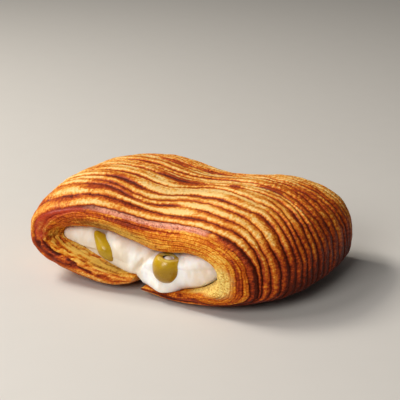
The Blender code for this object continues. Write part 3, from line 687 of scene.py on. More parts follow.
def strip_rows(angle, groove_depth):
    """Rows of the strip's section on each ring: their turns, their relief, and what the finish needs to know.

    The returned dictionary holds arrays of rings by rows. turn and relief give the shape, along and place the
    distances along and across the strip, inwards and level the distance from the nearer rim after and before
    the band slides. line and share tell which rib a row is on and how far across it, rib the same counted
    from the band, ahead and behind how deep the grooves before and after the rib are. flakes is how deep the
    face's layers are torn, crease the painted shade that is strongest at a groove's bottom, and
    off_tips 0 at the two tips.
    """
    turn_scale, place_scale = section_scale()
    arc = np.interp(np.pi, turn_scale, place_scale)
    along = np.interp(angle, *crust_scale())[:, None]
    off_tips = smooth(along, 0, TIP_FADE) * smooth(along[-1] - along, 0, TIP_FADE)
    random = np.random.default_rng(SEED)
    tables, is_face, steps, first_rib = ring_lines(along, arc, -place_scale[0], groove_depth, random)
    lines, unslid, groove = tables
    count = len(steps)

    line = np.repeat(np.arange(count), steps)
    even = np.concatenate([np.arange(step) / step for step in steps])
    share = mix(even, (1 - np.cos(np.pi * even)) / 2, ROW_GATHERING)
    place, level = (mix(table[:, line], table[:, line + 1], share) for table in (lines, unslid))
    inwards = np.minimum(place, arc - place)
    here, beyond = groove[:, line] * off_tips, groove[:, line + 1] * off_tips

    crest = random.uniform(*CREST_PLACE, count)[line]
    leaning = np.where(share < crest, share / crest / 2, 1 - (1 - share) / (1 - crest) / 2)
    walls = rib_wall(leaning), rib_wall(1 - leaning)
    proud = (1 + strands(along, count, PROUD_LENGTHS, DETAIL_SEED + 2)[:, line]) / 2
    proud = PROUD_SPREAD * np.clip(proud, 0, 1) * np.minimum(here, beyond) / GROOVE_DEPTH
    relief = proud * (1 - walls[0] - walls[1]) + here * walls[0] + beyond * walls[1]
    on_face = off_tips * is_face[line]
    layer = share * FACE_SPLIT % 1
    relief = relief + on_face * FACE_LAYER_DEPTH * (rib_wall(layer) + rib_wall(1 - layer))

    flaky = hump(along, *FLAKY)
    on_strip = np.stack([np.broadcast_to(along, place.shape) * FLAKE_LENGTH[0], inwards], axis=-1)
    flakes = smooth(ripple(on_strip, FLAKE_LENGTH[1], DETAIL_SEED + 13), *FLAKE_STEP)
    flakes = flakes * off_tips * flaky * plateau(inwards, FLAKY_EDGE, (0.0, BAND[0]))

    soft = np.maximum(hump(along, *LEFT_END), flaky) * (1 - smooth(inwards, 0.0, SOFT_REACH))
    width = lines[:, line + 1] - lines[:, line]
    # Painted shade: darkest at a groove's bottom and along the lines between the face's fine layers.
    near = np.exp(-share * width / GROOVE_SHADE_WIDTH[0]) * here
    near = near + np.exp(-(1 - share) * width / GROOVE_SHADE_WIDTH[1]) * beyond
    from_layer = np.minimum(layer, 1 - layer) * width / FACE_SPLIT
    near = near + on_face * FACE_LAYER_SHADE * GROOVE_DEPTH * np.exp(-from_layer / GROOVE_SHADE_WIDTH[0])
    return {
        "turn": np.interp(place, place_scale, turn_scale),
        "relief": relief + FLAKE_DEPTH * flakes,
        "along": np.broadcast_to(along, place.shape),
        "place": place,
        "inwards": inwards,
        "level": np.minimum(level, arc - level),
        "line": line,
        "share": share,
        "rib": line + share - first_rib + 1,
        "ahead": here / GROOVE_DEPTH,
        "behind": beyond / GROOVE_DEPTH,
        "flakes": flakes,
        "crease": np.clip(near / GROOVE_DEPTH, 0, 1) * (1 - LEFT_END_SOFTNESS * soft),
        "off_tips": off_tips,
        "count": count,
    }


def patches(along, across, table):
    """Sum of soft oval patches of the strip, each with its place, its spread and its strength."""
    return sum(k * hump(along, at, long) * hump(across, deep, wide) for at, deep, long, wide, k in table)


def browning(rows, height):
    """How far the crust has browned, how far it is toasted, and the face round the openings, all from 0 to 1.

    Browning goes from pale dough to nearly burnt, and it also carries painted light. It is a sum: the rib's
    own tone, paler on its crest and darker down its back, partly as painted highlight and shade, the dark
    band that frames the openings, the right-hand end and its foot, darker from browning and painted shade,
    painted shade on the left side and in the flakes' pits, the darker underside, and random streaks and
    clouds. On the crown it has more contrast, and painted shade in its grooves. Toasting holds the dark
    stripes down one side of the ribs and toasted patches.
    """
    along, place, level, line, share = (rows[key] for key in ("along", "place", "level", "line", "share"))
    count = rows["count"]
    random = np.random.default_rng(DETAIL_SEED + 3)
    tone = RIB_TONE * random.uniform(-1, 1, count)
    drift = RIB_DRIFT * strands(along[:, :1], count, RIB_DRIFT_LENGTHS, DETAIL_SEED + 4)
    on_crust = smooth(level, BAND[0] - FACE_START, BAND[1])
    face = 1 - smooth(level, BAND[0] - FACE_START, BAND[0])
    crown = plateau(along, *CROWN) * on_crust
    right_end = hump(along, *RIGHT_END) * smooth(level, *RIGHT_END_INWARDS)
    left_end, flaky = hump(along, *LEFT_END), hump(along, *FLAKY)
    in_band = plateau(level, *((edge - BAND_EDGE, edge + BAND_EDGE) for edge in BAND))
    in_band = in_band * (1 - BAND_FADING * left_end) * (1 - BAND_FADING * smooth(along, *BAND_FADE))
    face_edge = FACE_EDGE_SHARES[0] * left_end + FACE_EDGE_SHARES[1] * flaky
    shares = {
        "crust": 1,
        # flank and crest: browning, with painted shade down a rib's back and a painted highlight on its crest
        "flank browning and painted shade": on_crust * np.clip(rows["behind"], 0, 1) * share**2,
        "crest": on_crust * hump(share, *RIB_CREST) * (1 - RIGHT_END_CRESTS * right_end),
        # right end and right foot: browning and painted shade; left side: painted shade
        "right end browning and painted shade": right_end,
        "crown": crown,
        "left side painted shade": smooth(along, *LEFT_SIDE) * on_crust,
        "right foot browning and painted shade": hump(along, *RIGHT_FOOT) * on_crust,
        "pale": patches(along, rows["rib"], PALE) + patches(along, place, FACE_PALE),
        "band": in_band * (1 - hump(along, *BAND_BREAK)),
        "face": face,
        "throat": left_end * (1 - smooth(level, *THROAT)),
        "face edge": face * hump(level, *FACE_EDGE) * face_edge,
        "underside": 1 - smooth(height, *UNDERSIDE),
        # flakes: painted shade in the torn flakes' pits, paler dough where they are less torn
        "flakes": rows["flakes"] - FLAKE_MIDDLE * flaky * face,
    }
    bake = (tone + drift)[:, line] + sum(BROWNING[key] * value for key, value in shares.items())
    # On the crown, more contrast deepens its painted highlight and shade, and painted shade darkens its
    # grooves.
    bake = bake + crown * (CROWN_CONTRAST * (bake - CROWN_MIDDLE) + CROWN_GROOVE_SHADE * rows["crease"])
    for seed, (strength, stretch, length) in enumerate((STREAKS, CLOUDS), DETAIL_SEED + 6):
        bake = bake + strength * ripple(np.stack([along * stretch, place], axis=-1), length, seed)

    at_back = random.uniform(size=count)[line] < STRIPE_AT_BACK
    from_side = np.where(at_back, 1 - share, share)
    width = random.uniform(*STRIPE_WIDTH, count)[line]
    waves = strands(along[:, :1], count, STRIPE_LENGTHS, DETAIL_SEED + 5)
    strength = np.clip(STRIPE_SHARE + STRIPE_RANGE * waves, 0, 1)[:, line]
    strength = mix(strength, 1, RIGHT_END_STRIPES * right_end) * (1 - CROWN_STRIPES * crown)
    strength = strength * np.where(at_back, rows["behind"], rows["ahead"])
    stripes = on_crust * strength * (1 - smooth(from_side, width / 2, width))
    toast = np.maximum(stripes, patches(along, rows["rib"], TOASTED) + patches(along, place, FACE_TOASTED))
    return bake, np.clip(toast, 0, 1), face


# ---------------------------------------------------------------- meshes from arrays


def bridge(first, second):
    """Triangles that close the gap between two chains of vertices that share both their ends."""
    progress = np.concatenate([np.linspace(0, 1, len(first))[1:], np.linspace(0, 1, len(second))[1:]])
    on_first = np.argsort(progress, kind="stable") < len(first) - 1
    i = np.concatenate([[0], np.cumsum(on_first)])
    j = np.concatenate([[0], np.cumsum(~on_first)])
    new = np.where(on_first, np.take(first, i[1:]), np.take(second, j[1:]))
    triangles = np.stack([np.take(first, i[:-1]), new, np.take(second, j[:-1])], axis=1)
    distinct = (triangles[:, 0] != triangles[:, 2]) & (new != triangles[:, 0]) & (new != triangles[:, 2])
    return triangles[distinct]


def grid_quads(rings, rows):
    """Quads of a grid that is closed along its rows and open along its rings."""
    ring, row = np.meshgrid(np.arange(rings - 1), np.arange(rows), indexing="ij")
    beside = (row + 1) % rows
    quads = [ring * rows + row, ring * rows + beside, (ring + 1) * rows + beside, (ring + 1) * rows + row]
    return np.stack(quads, axis=-1).reshape(-1, 4)


def pole_fans(rows, columns):
    """Triangles that close a grid of rows by columns onto a pole before its rows and one after them."""
    here = np.arange(columns)
    beside = (here + 1) % columns
    last = (rows - 1) * columns
    pole = np.full(columns, rows * columns)
    return np.stack([beside, here, pole], axis=1), np.stack([last + here, last + beside, pole + 1], axis=1)


def make_piece(name, points, faces, material, values=None, uv=None):
    """Smooth piece from a table of points and tables of faces, with values at its points and a UV map.

    values holds one number a point for each attribute that the finish reads. uv is given a point too.
    """
    mesh = bpy.data.meshes.new(name)
    sizes = np.concatenate([np.full(len(table), table.shape[1]) for table in faces])
    corners = np.concatenate([table.ravel() for table in faces]).astype(np.int32)
    mesh.vertices.add(len(points))
    mesh.vertices.foreach_set("co", points.astype(np.float32).ravel())
    mesh.loops.add(len(corners))
    mesh.loops.foreach_set("vertex_index", corners)
    mesh.polygons.add(len(sizes))
    mesh.polygons.foreach_set("loop_start", np.concatenate([[0], np.cumsum(sizes)[:-1]]).astype(np.int32))
    mesh.update(calc_edges=True)
    for key, value in (values or {}).items():
        attribute = mesh.attributes.new(key, "FLOAT", "POINT")
        attribute.data.foreach_set("value", value.astype(np.float32).ravel())
    if uv is not None:
        layer = mesh.uv_layers.new(name=UV_NAME)
        layer.uv.foreach_set("vector", uv[corners].astype(np.float32).ravel())
    mesh.shade_smooth()
    mesh.materials.append(material)
    piece = bpy.data.objects.new(name, mesh)
    bpy.context.scene.collection.objects.link(piece)
    return piece


def fit_in_box(points, node):
    """Points kept inside the box of the solid that they stand for."""
    low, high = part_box(node)
    return np.clip(points, np.array(low), np.array(high))


# ---------------------------------------------------------------- materials


class Term:
    """A socket of a finish that takes part in arithmetic: each operator adds the Math node that it needs."""

    def __init__(self, finish, socket):
        self.finish = finish
        self.socket = socket

    def math(self, operation, first, second):
        """Result of a Math node."""
        return self.finish.node("ShaderNodeMath", {"operation": operation}, {0: first, 1: second})

    def __add__(self, other):
        return self.math("ADD", self, other)

    def __radd__(self, other):
        return self.math("ADD", other, self)

    def __sub__(self, other):
        return self.math("SUBTRACT", self, other)

    def __rsub__(self, other):
        return self.math("SUBTRACT", other, self)

    def __mul__(self, other):
        return self.math("MULTIPLY", self, other)

    def __rmul__(self, other):
        return self.math("MULTIPLY", other, self)


class Finish:
    """A material: its constants go on the Principled shader, and node() adds what varies over the surface."""

    def __init__(self, name, constants):
        self.material = bpy.data.materials.new(name)
        self.material.use_nodes = True
        self.tree = self.material.node_tree
        self.shader = self.tree.nodes["Principled BSDF"]
        for socket, value in constants.items():
            self.shader.inputs[socket].default_value = value

    def join(self, value, socket):
        """Links a term to a socket, or sets a plain value on it."""
        if isinstance(value, Term):
            self.tree.links.new(value.socket, socket)
        else:
            socket.default_value = value

    def node(self, kind, settings=None, inputs=None, output=0):
        """Adds a node of a kind, sets its settings and then its sockets, and gives one of its outputs."""
        node = self.tree.nodes.new(kind)
        settings = dict(settings or {})
        stops = settings.pop("stops", ())
        for key, value in settings.items():
            setattr(node, key, value)
        if stops:
            elements = node.color_ramp.elements
            while len(elements) < len(stops):
                elements.new(1.0)
            for element, (position, colour) in zip(elements, stops):
                element.position = position
                element.color = (*colour, 1.0)
        for key, value in (inputs or {}).items():
            self.join(value, node.inputs[key])
        return Term(self, node.outputs[output])

    def value(self, name):
        """Number that the piece holds at each of its points."""
        return self.node("ShaderNodeAttribute", {"attribute_name": name}, output="Fac")

    def place(self):
        """Place of a point in the part's own coordinates."""
        return self.node("ShaderNodeTexCoord", output="Object")

    def scaled(self, vector, scale):
        """Vector times a vector."""
        return self.node("ShaderNodeVectorMath", {"operation": "MULTIPLY"}, {0: vector, 1: scale})

    def noise(self, vector, size, detail=3.0, roughness=0.55):
        """Noise from 0 to 1 whose largest marks are about size metres apart, on coordinates in metres."""
        inputs = {"Vector": vector, "Scale": 1 / size, "Detail": detail, "Roughness": roughness}
        return self.node("ShaderNodeTexNoise", None, inputs)

    def step(self, value, start, end):
        """Smooth step from 0 at start to 1 at end."""
        settings = {"interpolation_type": "SMOOTHSTEP"}
        return self.node("ShaderNodeMapRange", settings, {"Value": value, "From Min": start, "From Max": end})

    def ramp(self, value, stops):
        """Colour read from a ramp."""
        return self.node("ShaderNodeValToRGB", {"stops": stops}, {"Fac": value})

    def blend(self, share, first, second, way="MIX"):
        """Colour between two colours."""
        settings = {"data_type": "RGBA", "blend_type": way}
        first, second = (colour if isinstance(colour, Term) else (*colour, 1.0) for colour in (first, second))
        return self.node("ShaderNodeMix", settings, {0: share, 6: first, 7: second}, output=2)

    def bump(self, heights):
        """Normal from several heights, each with the distance in metres that its range of 1 stands for."""
        normal = None
        for height, distance in heights:
            inputs = {"Height": height, "Distance": distance}
            if normal is not None:
                inputs["Normal"] = normal
            normal = self.node("ShaderNodeBump", None, inputs)
        return normal

    def finished(self, outputs):
        """Joins the last values to the shader, and gives the material."""
        for key, value in outputs.items():
            self.join(value, self.shader.inputs[key])
        return self.material


def crust_finish(settings):
    """Baked laminated dough: a ramp from pale to burnt, tinted where it is greasy or torn, with fine layers.

    Marks are noises from 0 to 1 in metres of the strip. They move the browning and fray the edges of patches.
    """
    finish = Finish(
        "baked_dough",
        {
            "Coat Roughness": 0.26,
            "Coat IOR": 1.45,
            "Specular IOR Level": 0.14,
            "Subsurface Weight": 0.08,
            "Subsurface Radius": (1.0, 0.45, 0.18),
            "Subsurface Scale": 0.0014,
        },
    )
    metres = finish.scaled(finish.node("ShaderNodeUVMap", {"uv_map": UV_NAME}), (UV_UNIT, UV_UNIT, UV_UNIT))
    marks = {name: finish.noise(finish.place(), *look) for name, look in DOUGH_SPOTS.items()}
    for name, (stretch, *look) in DOUGH_LINES.items():
        marks[name] = finish.noise(finish.scaled(metres, stretch), *look)
    marks["speckle"] = finish.step(marks["dots"], *SPECKLE_STEP)

    def swung(name, swings):
        """Value that the piece holds, moved up and down by marks."""
        value = finish.value(name)
        for mark, width in swings.items():
            value = value + (marks[mark] - 0.5) * width
        return value

    def patch(name):
        """Share of a kind of patch, from 0 to 1, with a frayed edge."""
        swings, start, end = PATCH_EDGES[name]
        return finish.step(swung(name, swings), start, end)

    toast, oily, ember = patch("toast"), patch("grease"), patch("ember")
    crease, glaze = finish.value("crease"), finish.value("glaze")
    bake = swung("bake", BAKE_SWINGS)
    # crease adds painted shade at the grooves' bottoms.
    bake = bake + toast * TINTS["toast"] * (TOAST_BAKE - bake) + crease * TINTS["crease"]
    colour = finish.ramp(bake, [(at, getattr(settings, name)) for name, at in BAKE_STOPS.items()])
    colour = finish.blend(finish.value("face"), colour, FACE_TINT, "MULTIPLY")
    # Painted highlight: the glazed band is tinted towards a pale pink, more so in painted glints.
    painted_glints = finish.step(marks["dots"] + marks["grain"], *PAINTED_GLINT_STEP)
    colour = finish.blend(glaze * (PAINTED_HIGHLIGHT_SHARE[0] + PAINTED_HIGHLIGHT_SHARE[1] * painted_glints), colour, BAND_PAINTED_HIGHLIGHT)
    greasy = finish.blend(finish.step(bake, *GREASE_BAKE), *GREASE_COLOURS)
    colour = finish.blend(oily * TINTS["grease"], colour, greasy)
    colour = finish.blend(ember * TINTS["ember"], colour, EMBER_COLOUR)
    pores = finish.step(marks["dots"] * 0.5 + marks["grain"], *CRUMB_PORES)
    colour = finish.blend(patch("crumb"), colour, finish.blend(pores, *CRUMB_COLOURS))

    shine = SHINE["dough"] + glaze * SHINE["glaze"] + toast * SHINE["toast"] + ember * SHINE["ember"]
    terms = {"grain": marks["grain"] - 0.5, "shine": shine, "grease": oily, "crease": crease}
    roughness = DOUGH_ROUGHNESS["dough"]
    for key, term in terms.items():
        roughness = roughness + term * DOUGH_ROUGHNESS[key]
    in_specks = finish.step(marks["specks"], 0.35, 0.6)
    return finish.finished(
        {
            "Base Color": colour,
            "Roughness": roughness,
            "Coat Weight": shine * (SHINE_SPECKS[0] + SHINE_SPECKS[1] * in_specks),
            "Normal": finish.bump([(marks[key], distance) for key, distance in DOUGH_BUMPS.items()]),
        }
    )


def cream_finish(settings):
    """Soft cheese cream: nearly white, with warmer painted shade in its fold and towards its lower left, and
    faint smears.
    """
    finish = Finish(
        "soft_cream",
        {
            "Specular IOR Level": 0.42,
            "Subsurface Weight": 0.55,
            "Subsurface Radius": (1.0, 0.82, 0.66),
            "Subsurface Scale": 0.0022,
        },
    )
    smears = finish.noise(finish.scaled(finish.place(), (1.0, 0.5, 0.45)), 0.0042, roughness=0.5)
    curds = finish.noise(finish.place(), 0.0012, roughness=0.6)
    # The shade colour marks the smears and, through hollow, paints shade in the fold and on the left-hand part.
    share = finish.step(smears + finish.value("hollow") * 0.8, 0.35, 1.1)
    return finish.finished(
        {
            "Base Color": finish.blend(share, settings.light, settings.shade),
            "Roughness": 0.50 + (smears - 0.5) * 0.30,
            "Normal": finish.bump([(smears, 0.00018), (curds, 0.00010)]),
        }
    )


def olive_finish(settings):
    """Wet green olive: mottled skin, paler flesh where it is cut, painted shade in the pit hole, and white
    cream in it.

    The attribute cut counts these up: 0 on the skin, 0.5 on the flesh, 1.5 in the hole and 2.5 on the cream.
    """
    finish = Finish(
        "green_olive",
        {
            "Coat Weight": 0.30,
            "Coat Roughness": 0.16,
            "Specular IOR Level": 0.25,
            "Subsurface Weight": 0.35,
            "Subsurface Radius": (0.9, 0.8, 0.15),
            "Subsurface Scale": 0.0020,
        },
    )
    mottle = finish.noise(finish.place(), 0.0034, roughness=0.5)
    pores = finish.noise(finish.place(), 0.0006, 2.0, 0.5)
    height = finish.node("ShaderNodeSeparateXYZ", None, {0: finish.place()}, output=2)
    # Painted light: the skin is paler towards the olive's top, mixed with its own mottle.
    mottle_and_painted_light = finish.step(mottle * 0.7 + finish.step(height, *OLIVE_PAINTED_LIGHT_HEIGHTS) * 0.8, 0.42, 1.08)
    skin = finish.blend(mottle_and_painted_light, settings.skin, settings.light)
    flesh = finish.blend(finish.step(mottle, 0.35, 0.65), settings.light, settings.flesh)
    cut = finish.value("cut")
    colour = finish.blend(finish.step(cut, 0.0, 0.5), skin, flesh)
    # Painted shade inside the pit hole.
    colour = finish.blend(finish.step(cut, 0.6, 1.2), colour, PIT_SHADE)
    colour = finish.blend(finish.step(cut, 1.7, 2.3), colour, PIT_CREAM)
    return finish.finished(
        {
            "Base Color": colour,
            "Roughness": 0.30 + (pores - 0.5) * 0.25,
            "Normal": finish.bump([(mottle, 0.00020), (pores, 0.00006)]),
        }
    )


def floor_finish(colour):
    """Plain pale paper."""
    finish = Finish("pale_floor", {"Specular IOR Level": 0.3})
    tooth = finish.noise(finish.place(), 0.012, roughness=0.5)
    shade = finish.blend(tooth, [channel * 0.985 for channel in colour], colour)
    return finish.finished({"Base Color": shade, "Roughness": 0.62 + (tooth - 0.5) * 0.10})


# ---------------------------------------------------------------- pieces


def build_crust(settings):
    """The folded strip: rings round the roll, each a section with its ribs, and two rounded tips.

    A point is the smooth strip's point less its relief along the outward normal. The relief of a rib is a
    quarter of an ellipse down to the groove on either side, so the crests lie on the smooth strip.
    """
    ring, slim = ring_angles()
    rows = strip_rows(ring, settings.groove_depth)
    turn, along, inwards, level = (rows[key] for key in ("turn", "along", "inwards", "level"))
    angle = np.broadcast_to(ring[:, None], turn.shape)

    def surface(angle, turn):
        return strip_point(angle, turn, slim[:, None])

    skin = surface(angle, turn)
    bumps = settings.swell * dapple(skin, SWELL_LENGTH, DETAIL_SEED + 8)
    bumps = bumps + BLISTER_HEIGHT * dapple(skin, BLISTER_LENGTH, DETAIL_SEED + 9)
    base = mix(BASE_RELIEF, 1, smooth(skin[..., 2], *BASE_FADE))
    relief = (rows["relief"] + rows["off_tips"] * bumps) * base
    points = skin - normals(surface, angle, turn) * relief[..., None]
    points[..., 2] = np.maximum(points[..., 2], 0)

    bake, toast, face = browning(rows, skin[..., 2])
    # The glazed stretch of the band, which the finish gives a coat and a painted highlight.
    band = plateau(level, *((edge - GLAZE_EDGE, edge) for edge in BAND))
    values = {
        "bake": bake,
        "toast": toast,
        "face": face,
        "crease": rows["crease"] * base,
        "glaze": band * plateau(along, *GLAZE_ENDS),
    }
    kinds = {"grease": (inwards, GREASY), "crumb": (inwards, TORN), "ember": (level, EMBER)}
    for name, (place, table) in kinds.items():
        values[name] = np.clip(patches(along, place, table), 0, 1)

    rings, count = turn.shape
    front, back = np.argmin(np.abs(turn[0])), np.argmin(np.abs(turn[0] - np.pi))
    crust = np.arange(front, back + 1)
    hollow = np.concatenate([np.arange(front, -1, -1), np.arange(count - 1, back - 1, -1)])
    cap = bridge(crust, hollow)
    faces = [grid_quads(rings, count), cap[:, ::-1], cap + (rings - 1) * count]
    uv = np.stack([along, rows["place"]], axis=-1).reshape(-1, 2) / UV_UNIT
    points = fit_in_box(points.reshape(-1, 3), "pastry")
    piece = make_piece("folded_crust", points, faces, crust_finish(settings), values, uv)
    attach(piece, "root")
    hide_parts("pastry")


def cream_columns():
    """Angles round the roll of the cream's columns."""
    angle, place = crust_scale()
    evenly = mix(place / place[-1], (angle - angle[0]) / (angle[-1] - angle[0]), CREAM_EVENNESS)
    return np.interp(np.linspace(0, 1, CREAM_COLUMNS), evenly, angle)


def cream_edges(angle):
    """Turns at which the cream leaves the dough at the back and the front, and how far it spills, 0 to 1."""
    turn_scale, place_scale = section_scale()
    along = np.interp(angle, *crust_scale())
    edge = np.full_like(angle, CREAM_EDGE)
    for at, before, beyond, shift in CREAM_EDGE_SHIFTS:
        edge = edge + shift * hump(along, at, np.where(along < at, before, beyond))
    back = np.full_like(angle, -np.pi / 2 - CREAM_REACH)
    spill = np.clip((edge - CREAM_EDGE) / CREAM_EDGE_SHIFTS[0][-1], 0, 1)
    return back, np.interp(edge, place_scale, turn_scale), spill


def cream_relief(x, z, settings):
    """How far the front face of the cream stands out at x and z, and where it is folded, from 0 to 1.

    Lobes are humps that lean, the fold is a bent line pressed in, and random waves and smears join them.
    """
    lobes = 0
    for at, up, lean, wide, tall, height in CREAM_LOBES:
        across = (x - at) * math.cos(lean) - (z - up) * math.sin(lean)
        upwards = (x - at) * math.sin(lean) + (z - up) * math.cos(lean)
        lobes = lobes + height * hump(across, 0, wide) * hump(upwards, 0, tall)
    middle, slope, fold_z, bend = CREAM_FOLD
    fold_x = middle + slope * (z - fold_z) + bend * (z - fold_z) ** 2
    fold = settings.fold * hump(x, fold_x, CREAM_FOLD_WIDTH) * smooth(z, *CREAM_FOLD_FADE)
    flat = np.stack([x, z], axis=-1)
    waves = settings.waves * ripple(flat, CREAM_WAVE_LENGTH, DETAIL_SEED + 10)
    smears = CREAM_SMEAR * ripple(flat * CREAM_SMEAR_STRETCH, CREAM_SMEAR_LENGTH, DETAIL_SEED + 11)
    return lobes - fold + waves + smears, fold / settings.fold


def build_cream(settings):
    """Filling that clings to the dough all round, with a swelling face at the front and at the back.

    Each face is a quarter of an ellipse from its edge to its middle, with its relief added to the depth. Some
    columns run straight over the seam between the flaps. The attribute hollow holds painted shade: that of
    the fold and that of the left-hand part, strongest low down.
    """
    angle = cream_columns()
    back_edge, front_edge, spill = cream_edges(angle)
    turn = mix(back_edge[:, None], front_edge[:, None], np.linspace(0, 1, CREAM_CONTACT_ROWS))
    ring = np.broadcast_to(angle[:, None], turn.shape)
    wall = strip_point(ring, turn) + CREAM_GRIP * normals(strip_point, ring, turn)
    across = np.linspace(0, 1, CREAM_BRIDGE + 2)[1:-1, None]
    seam = mix(wall[-1], wall[0], smooth(across, 0, 1)[..., None])
    wall = np.concatenate([wall, seam])
    spill = np.concatenate([spill, mix(spill[-1], spill[0], smooth(across[:, 0], 0, 1))])

    swell = np.linspace(0, 1, CREAM_FACE_ROWS + 2)[1:-1] * np.pi / 2
    free = smooth(np.sin(swell), *CREAM_FREE)
    x, depth, z = CREAM_MIDDLE
    sheets = []
    for edge, way in ((wall[:, 0], 1), (wall[:, -1], -1)):
        sheet = mix(edge[:, None], np.array([x, 0, z]), (1 - np.cos(swell))[None, :, None])
        sheet[..., 1] = mix(edge[:, None, 1], way * depth, np.sin(swell))
        stand, fold = cream_relief(way * -sheet[..., 0], sheet[..., 2], settings)
        sheet[..., 1] += way * stand * free
        if way < 0:
            sheet[..., 1] -= DRIP_SWELL * spill[:, None] * np.sin(2 * swell)
        sheets.append((sheet, fold * free))
    (back_sheet, back_fold), (front_sheet, front_fold) = sheets
    points = np.concatenate([back_sheet[:, ::-1], wall, front_sheet], axis=1).swapaxes(0, 1)
    fold = np.concatenate([back_fold[:, ::-1], np.zeros(wall.shape[:2]), front_fold], axis=1).T

    faces = [grid_quads(*points.shape[:2]), *pole_fans(*points.shape[:2])]
    points = np.concatenate([points.reshape(-1, 3), [points[0].mean(0), points[-1].mean(0)]])
    # Painted shade: darker towards the left-hand end and low down.
    shade = 1 - smooth(points[:, 0], *CREAM_SHADE)
    shade = shade * (1 - CREAM_SHADE_FADE * smooth(points[:, 2], *CREAM_SHADE_HEIGHTS))
    hollow = np.concatenate([fold.ravel(), [0, 0]]) + shade
    points = fit_in_box(points, "cream_filling")
    piece = make_piece("cream_filling_soft", points, faces, cream_finish(settings), {"hollow": hollow})
    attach(piece, "root")
    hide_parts("cream_filling")


def turned(centre, half, lean, radius, height, seed):
    """Turned solid about an axis that leans in the plane of the opening, dented by a smooth random field.

    radius and height are its outline from the foot to the top, as shares of the half width and in metres.
    """
    spin = np.linspace(0, 2 * np.pi, OLIVE_SEGMENTS, endpoint=False)
    across = radius[1:-1, None] * np.cos(spin) * half[0]
    deep = radius[1:-1, None] * np.sin(spin) * half[1]
    up = np.broadcast_to(height[1:-1, None], across.shape)
    points = np.stack([across, deep, up], axis=-1).reshape(-1, 3)
    points = np.concatenate([points, [[0, 0, height[0]], [0, 0, height[-1]]]])
    points = points * (1 - OLIVE_DENT * dapple(points, OLIVE_DENT_LENGTH, seed, 0.4))[:, None]
    x, y, z = points.T
    points = np.stack([x * np.cos(lean) + z * np.sin(lean), y, z * np.cos(lean) - x * np.sin(lean)], axis=-1)
    rows = len(radius) - 2
    return points + np.array(centre), [grid_quads(rows, OLIVE_SEGMENTS), *pole_fans(rows, OLIVE_SEGMENTS)]


def barrel(rise):
    """Radius of an olive, as a share of its half width, at an angle from its middle: a superellipse."""
    return np.maximum(1 - np.abs(np.sin(rise)) ** OLIVE_POWER, 0) ** (1 / OLIVE_POWER)


def add_olive(name, points, faces, material, cut):
    """One olive in place of its solid."""
    piece = make_piece(name + "_skin", fit_in_box(points, name), faces, material, {"cut": cut})
    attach(piece, "root")
    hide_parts(name)


def build_olives(settings):
    """Whole olives, each a barrel about its own axis, and the pitted one, which is cut off and holed."""
    material = olive_finish(settings)
    rise = np.linspace(-np.pi / 2, np.pi / 2, OLIVE_RINGS)
    for seed, (name, (centre, half, lean)) in enumerate(OLIVES.items(), DETAIL_SEED + 12):
        radius = barrel(rise) * (1 - OLIVE_TAPER.get(name, 0) * smooth(np.sin(rise), *OLIVE_TAPER_HEIGHTS))
        points, faces = turned(centre, half, lean, radius, np.sin(rise) * half[2], seed)
        add_olive(name, points, faces, material, np.zeros(len(points)))

    centre, half, lean = PITTED_OLIVE
    rise = np.linspace(-np.pi / 2, np.arcsin(PIT_CUT), OLIVE_RINGS)
    mouth = PIT_RADIUS / half[0]
    rim = PIT_CUT * half[2]
    edge = np.linspace(0, np.pi / 2, PIT_RINGS)
    cut = mix(barrel(rise[-1]), mouth, np.linspace(0, 1, PIT_RINGS)[1:])
    bulge = PIT_BULGE * np.sin(np.linspace(0, np.pi, PIT_RINGS))[1:]
    down = np.linspace(0, 1, PIT_RINGS)
    wall = mouth * mix(*PIT_TAPER, down)
    radius = np.concatenate([barrel(rise), cut, wall, mouth * PIT_DAB[0] * np.cos(edge)])
    dab = rim - PIT_DEPTH + (PIT_DEPTH + PIT_DAB[1]) * np.sin(edge)
    hole = rim - PIT_DEPTH * mix(PIT_START, 1, down)
    height = np.concatenate([np.sin(rise) * half[2], rim + bulge, hole, dab])
    points, faces = turned(centre, half, lean, radius, height, DETAIL_SEED + 20)
    row = np.arange(len(radius))
    is_cut, is_pit, is_dab = (row >= OLIVE_RINGS + more for more in (0, PIT_RINGS, 2 * PIT_RINGS))
    stage = (0.5 * is_cut + is_pit + is_dab)[1:-1]
    stage = np.concatenate([np.repeat(stage, OLIVE_SEGMENTS), [0, stage[-1]]])
    add_olive("olive_right", points, faces, material, stage)


def aimed(data, location, target):
    """Light or camera at a location, pointed at a target."""
    aimed_object = bpy.data.objects.new(data.name, data)
    aimed_object.location = location
    aimed_object.rotation_euler = (target - location).to_track_quat("-Z", "Y").to_euler()
    bpy.context.scene.collection.objects.link(aimed_object)
    return aimed_object


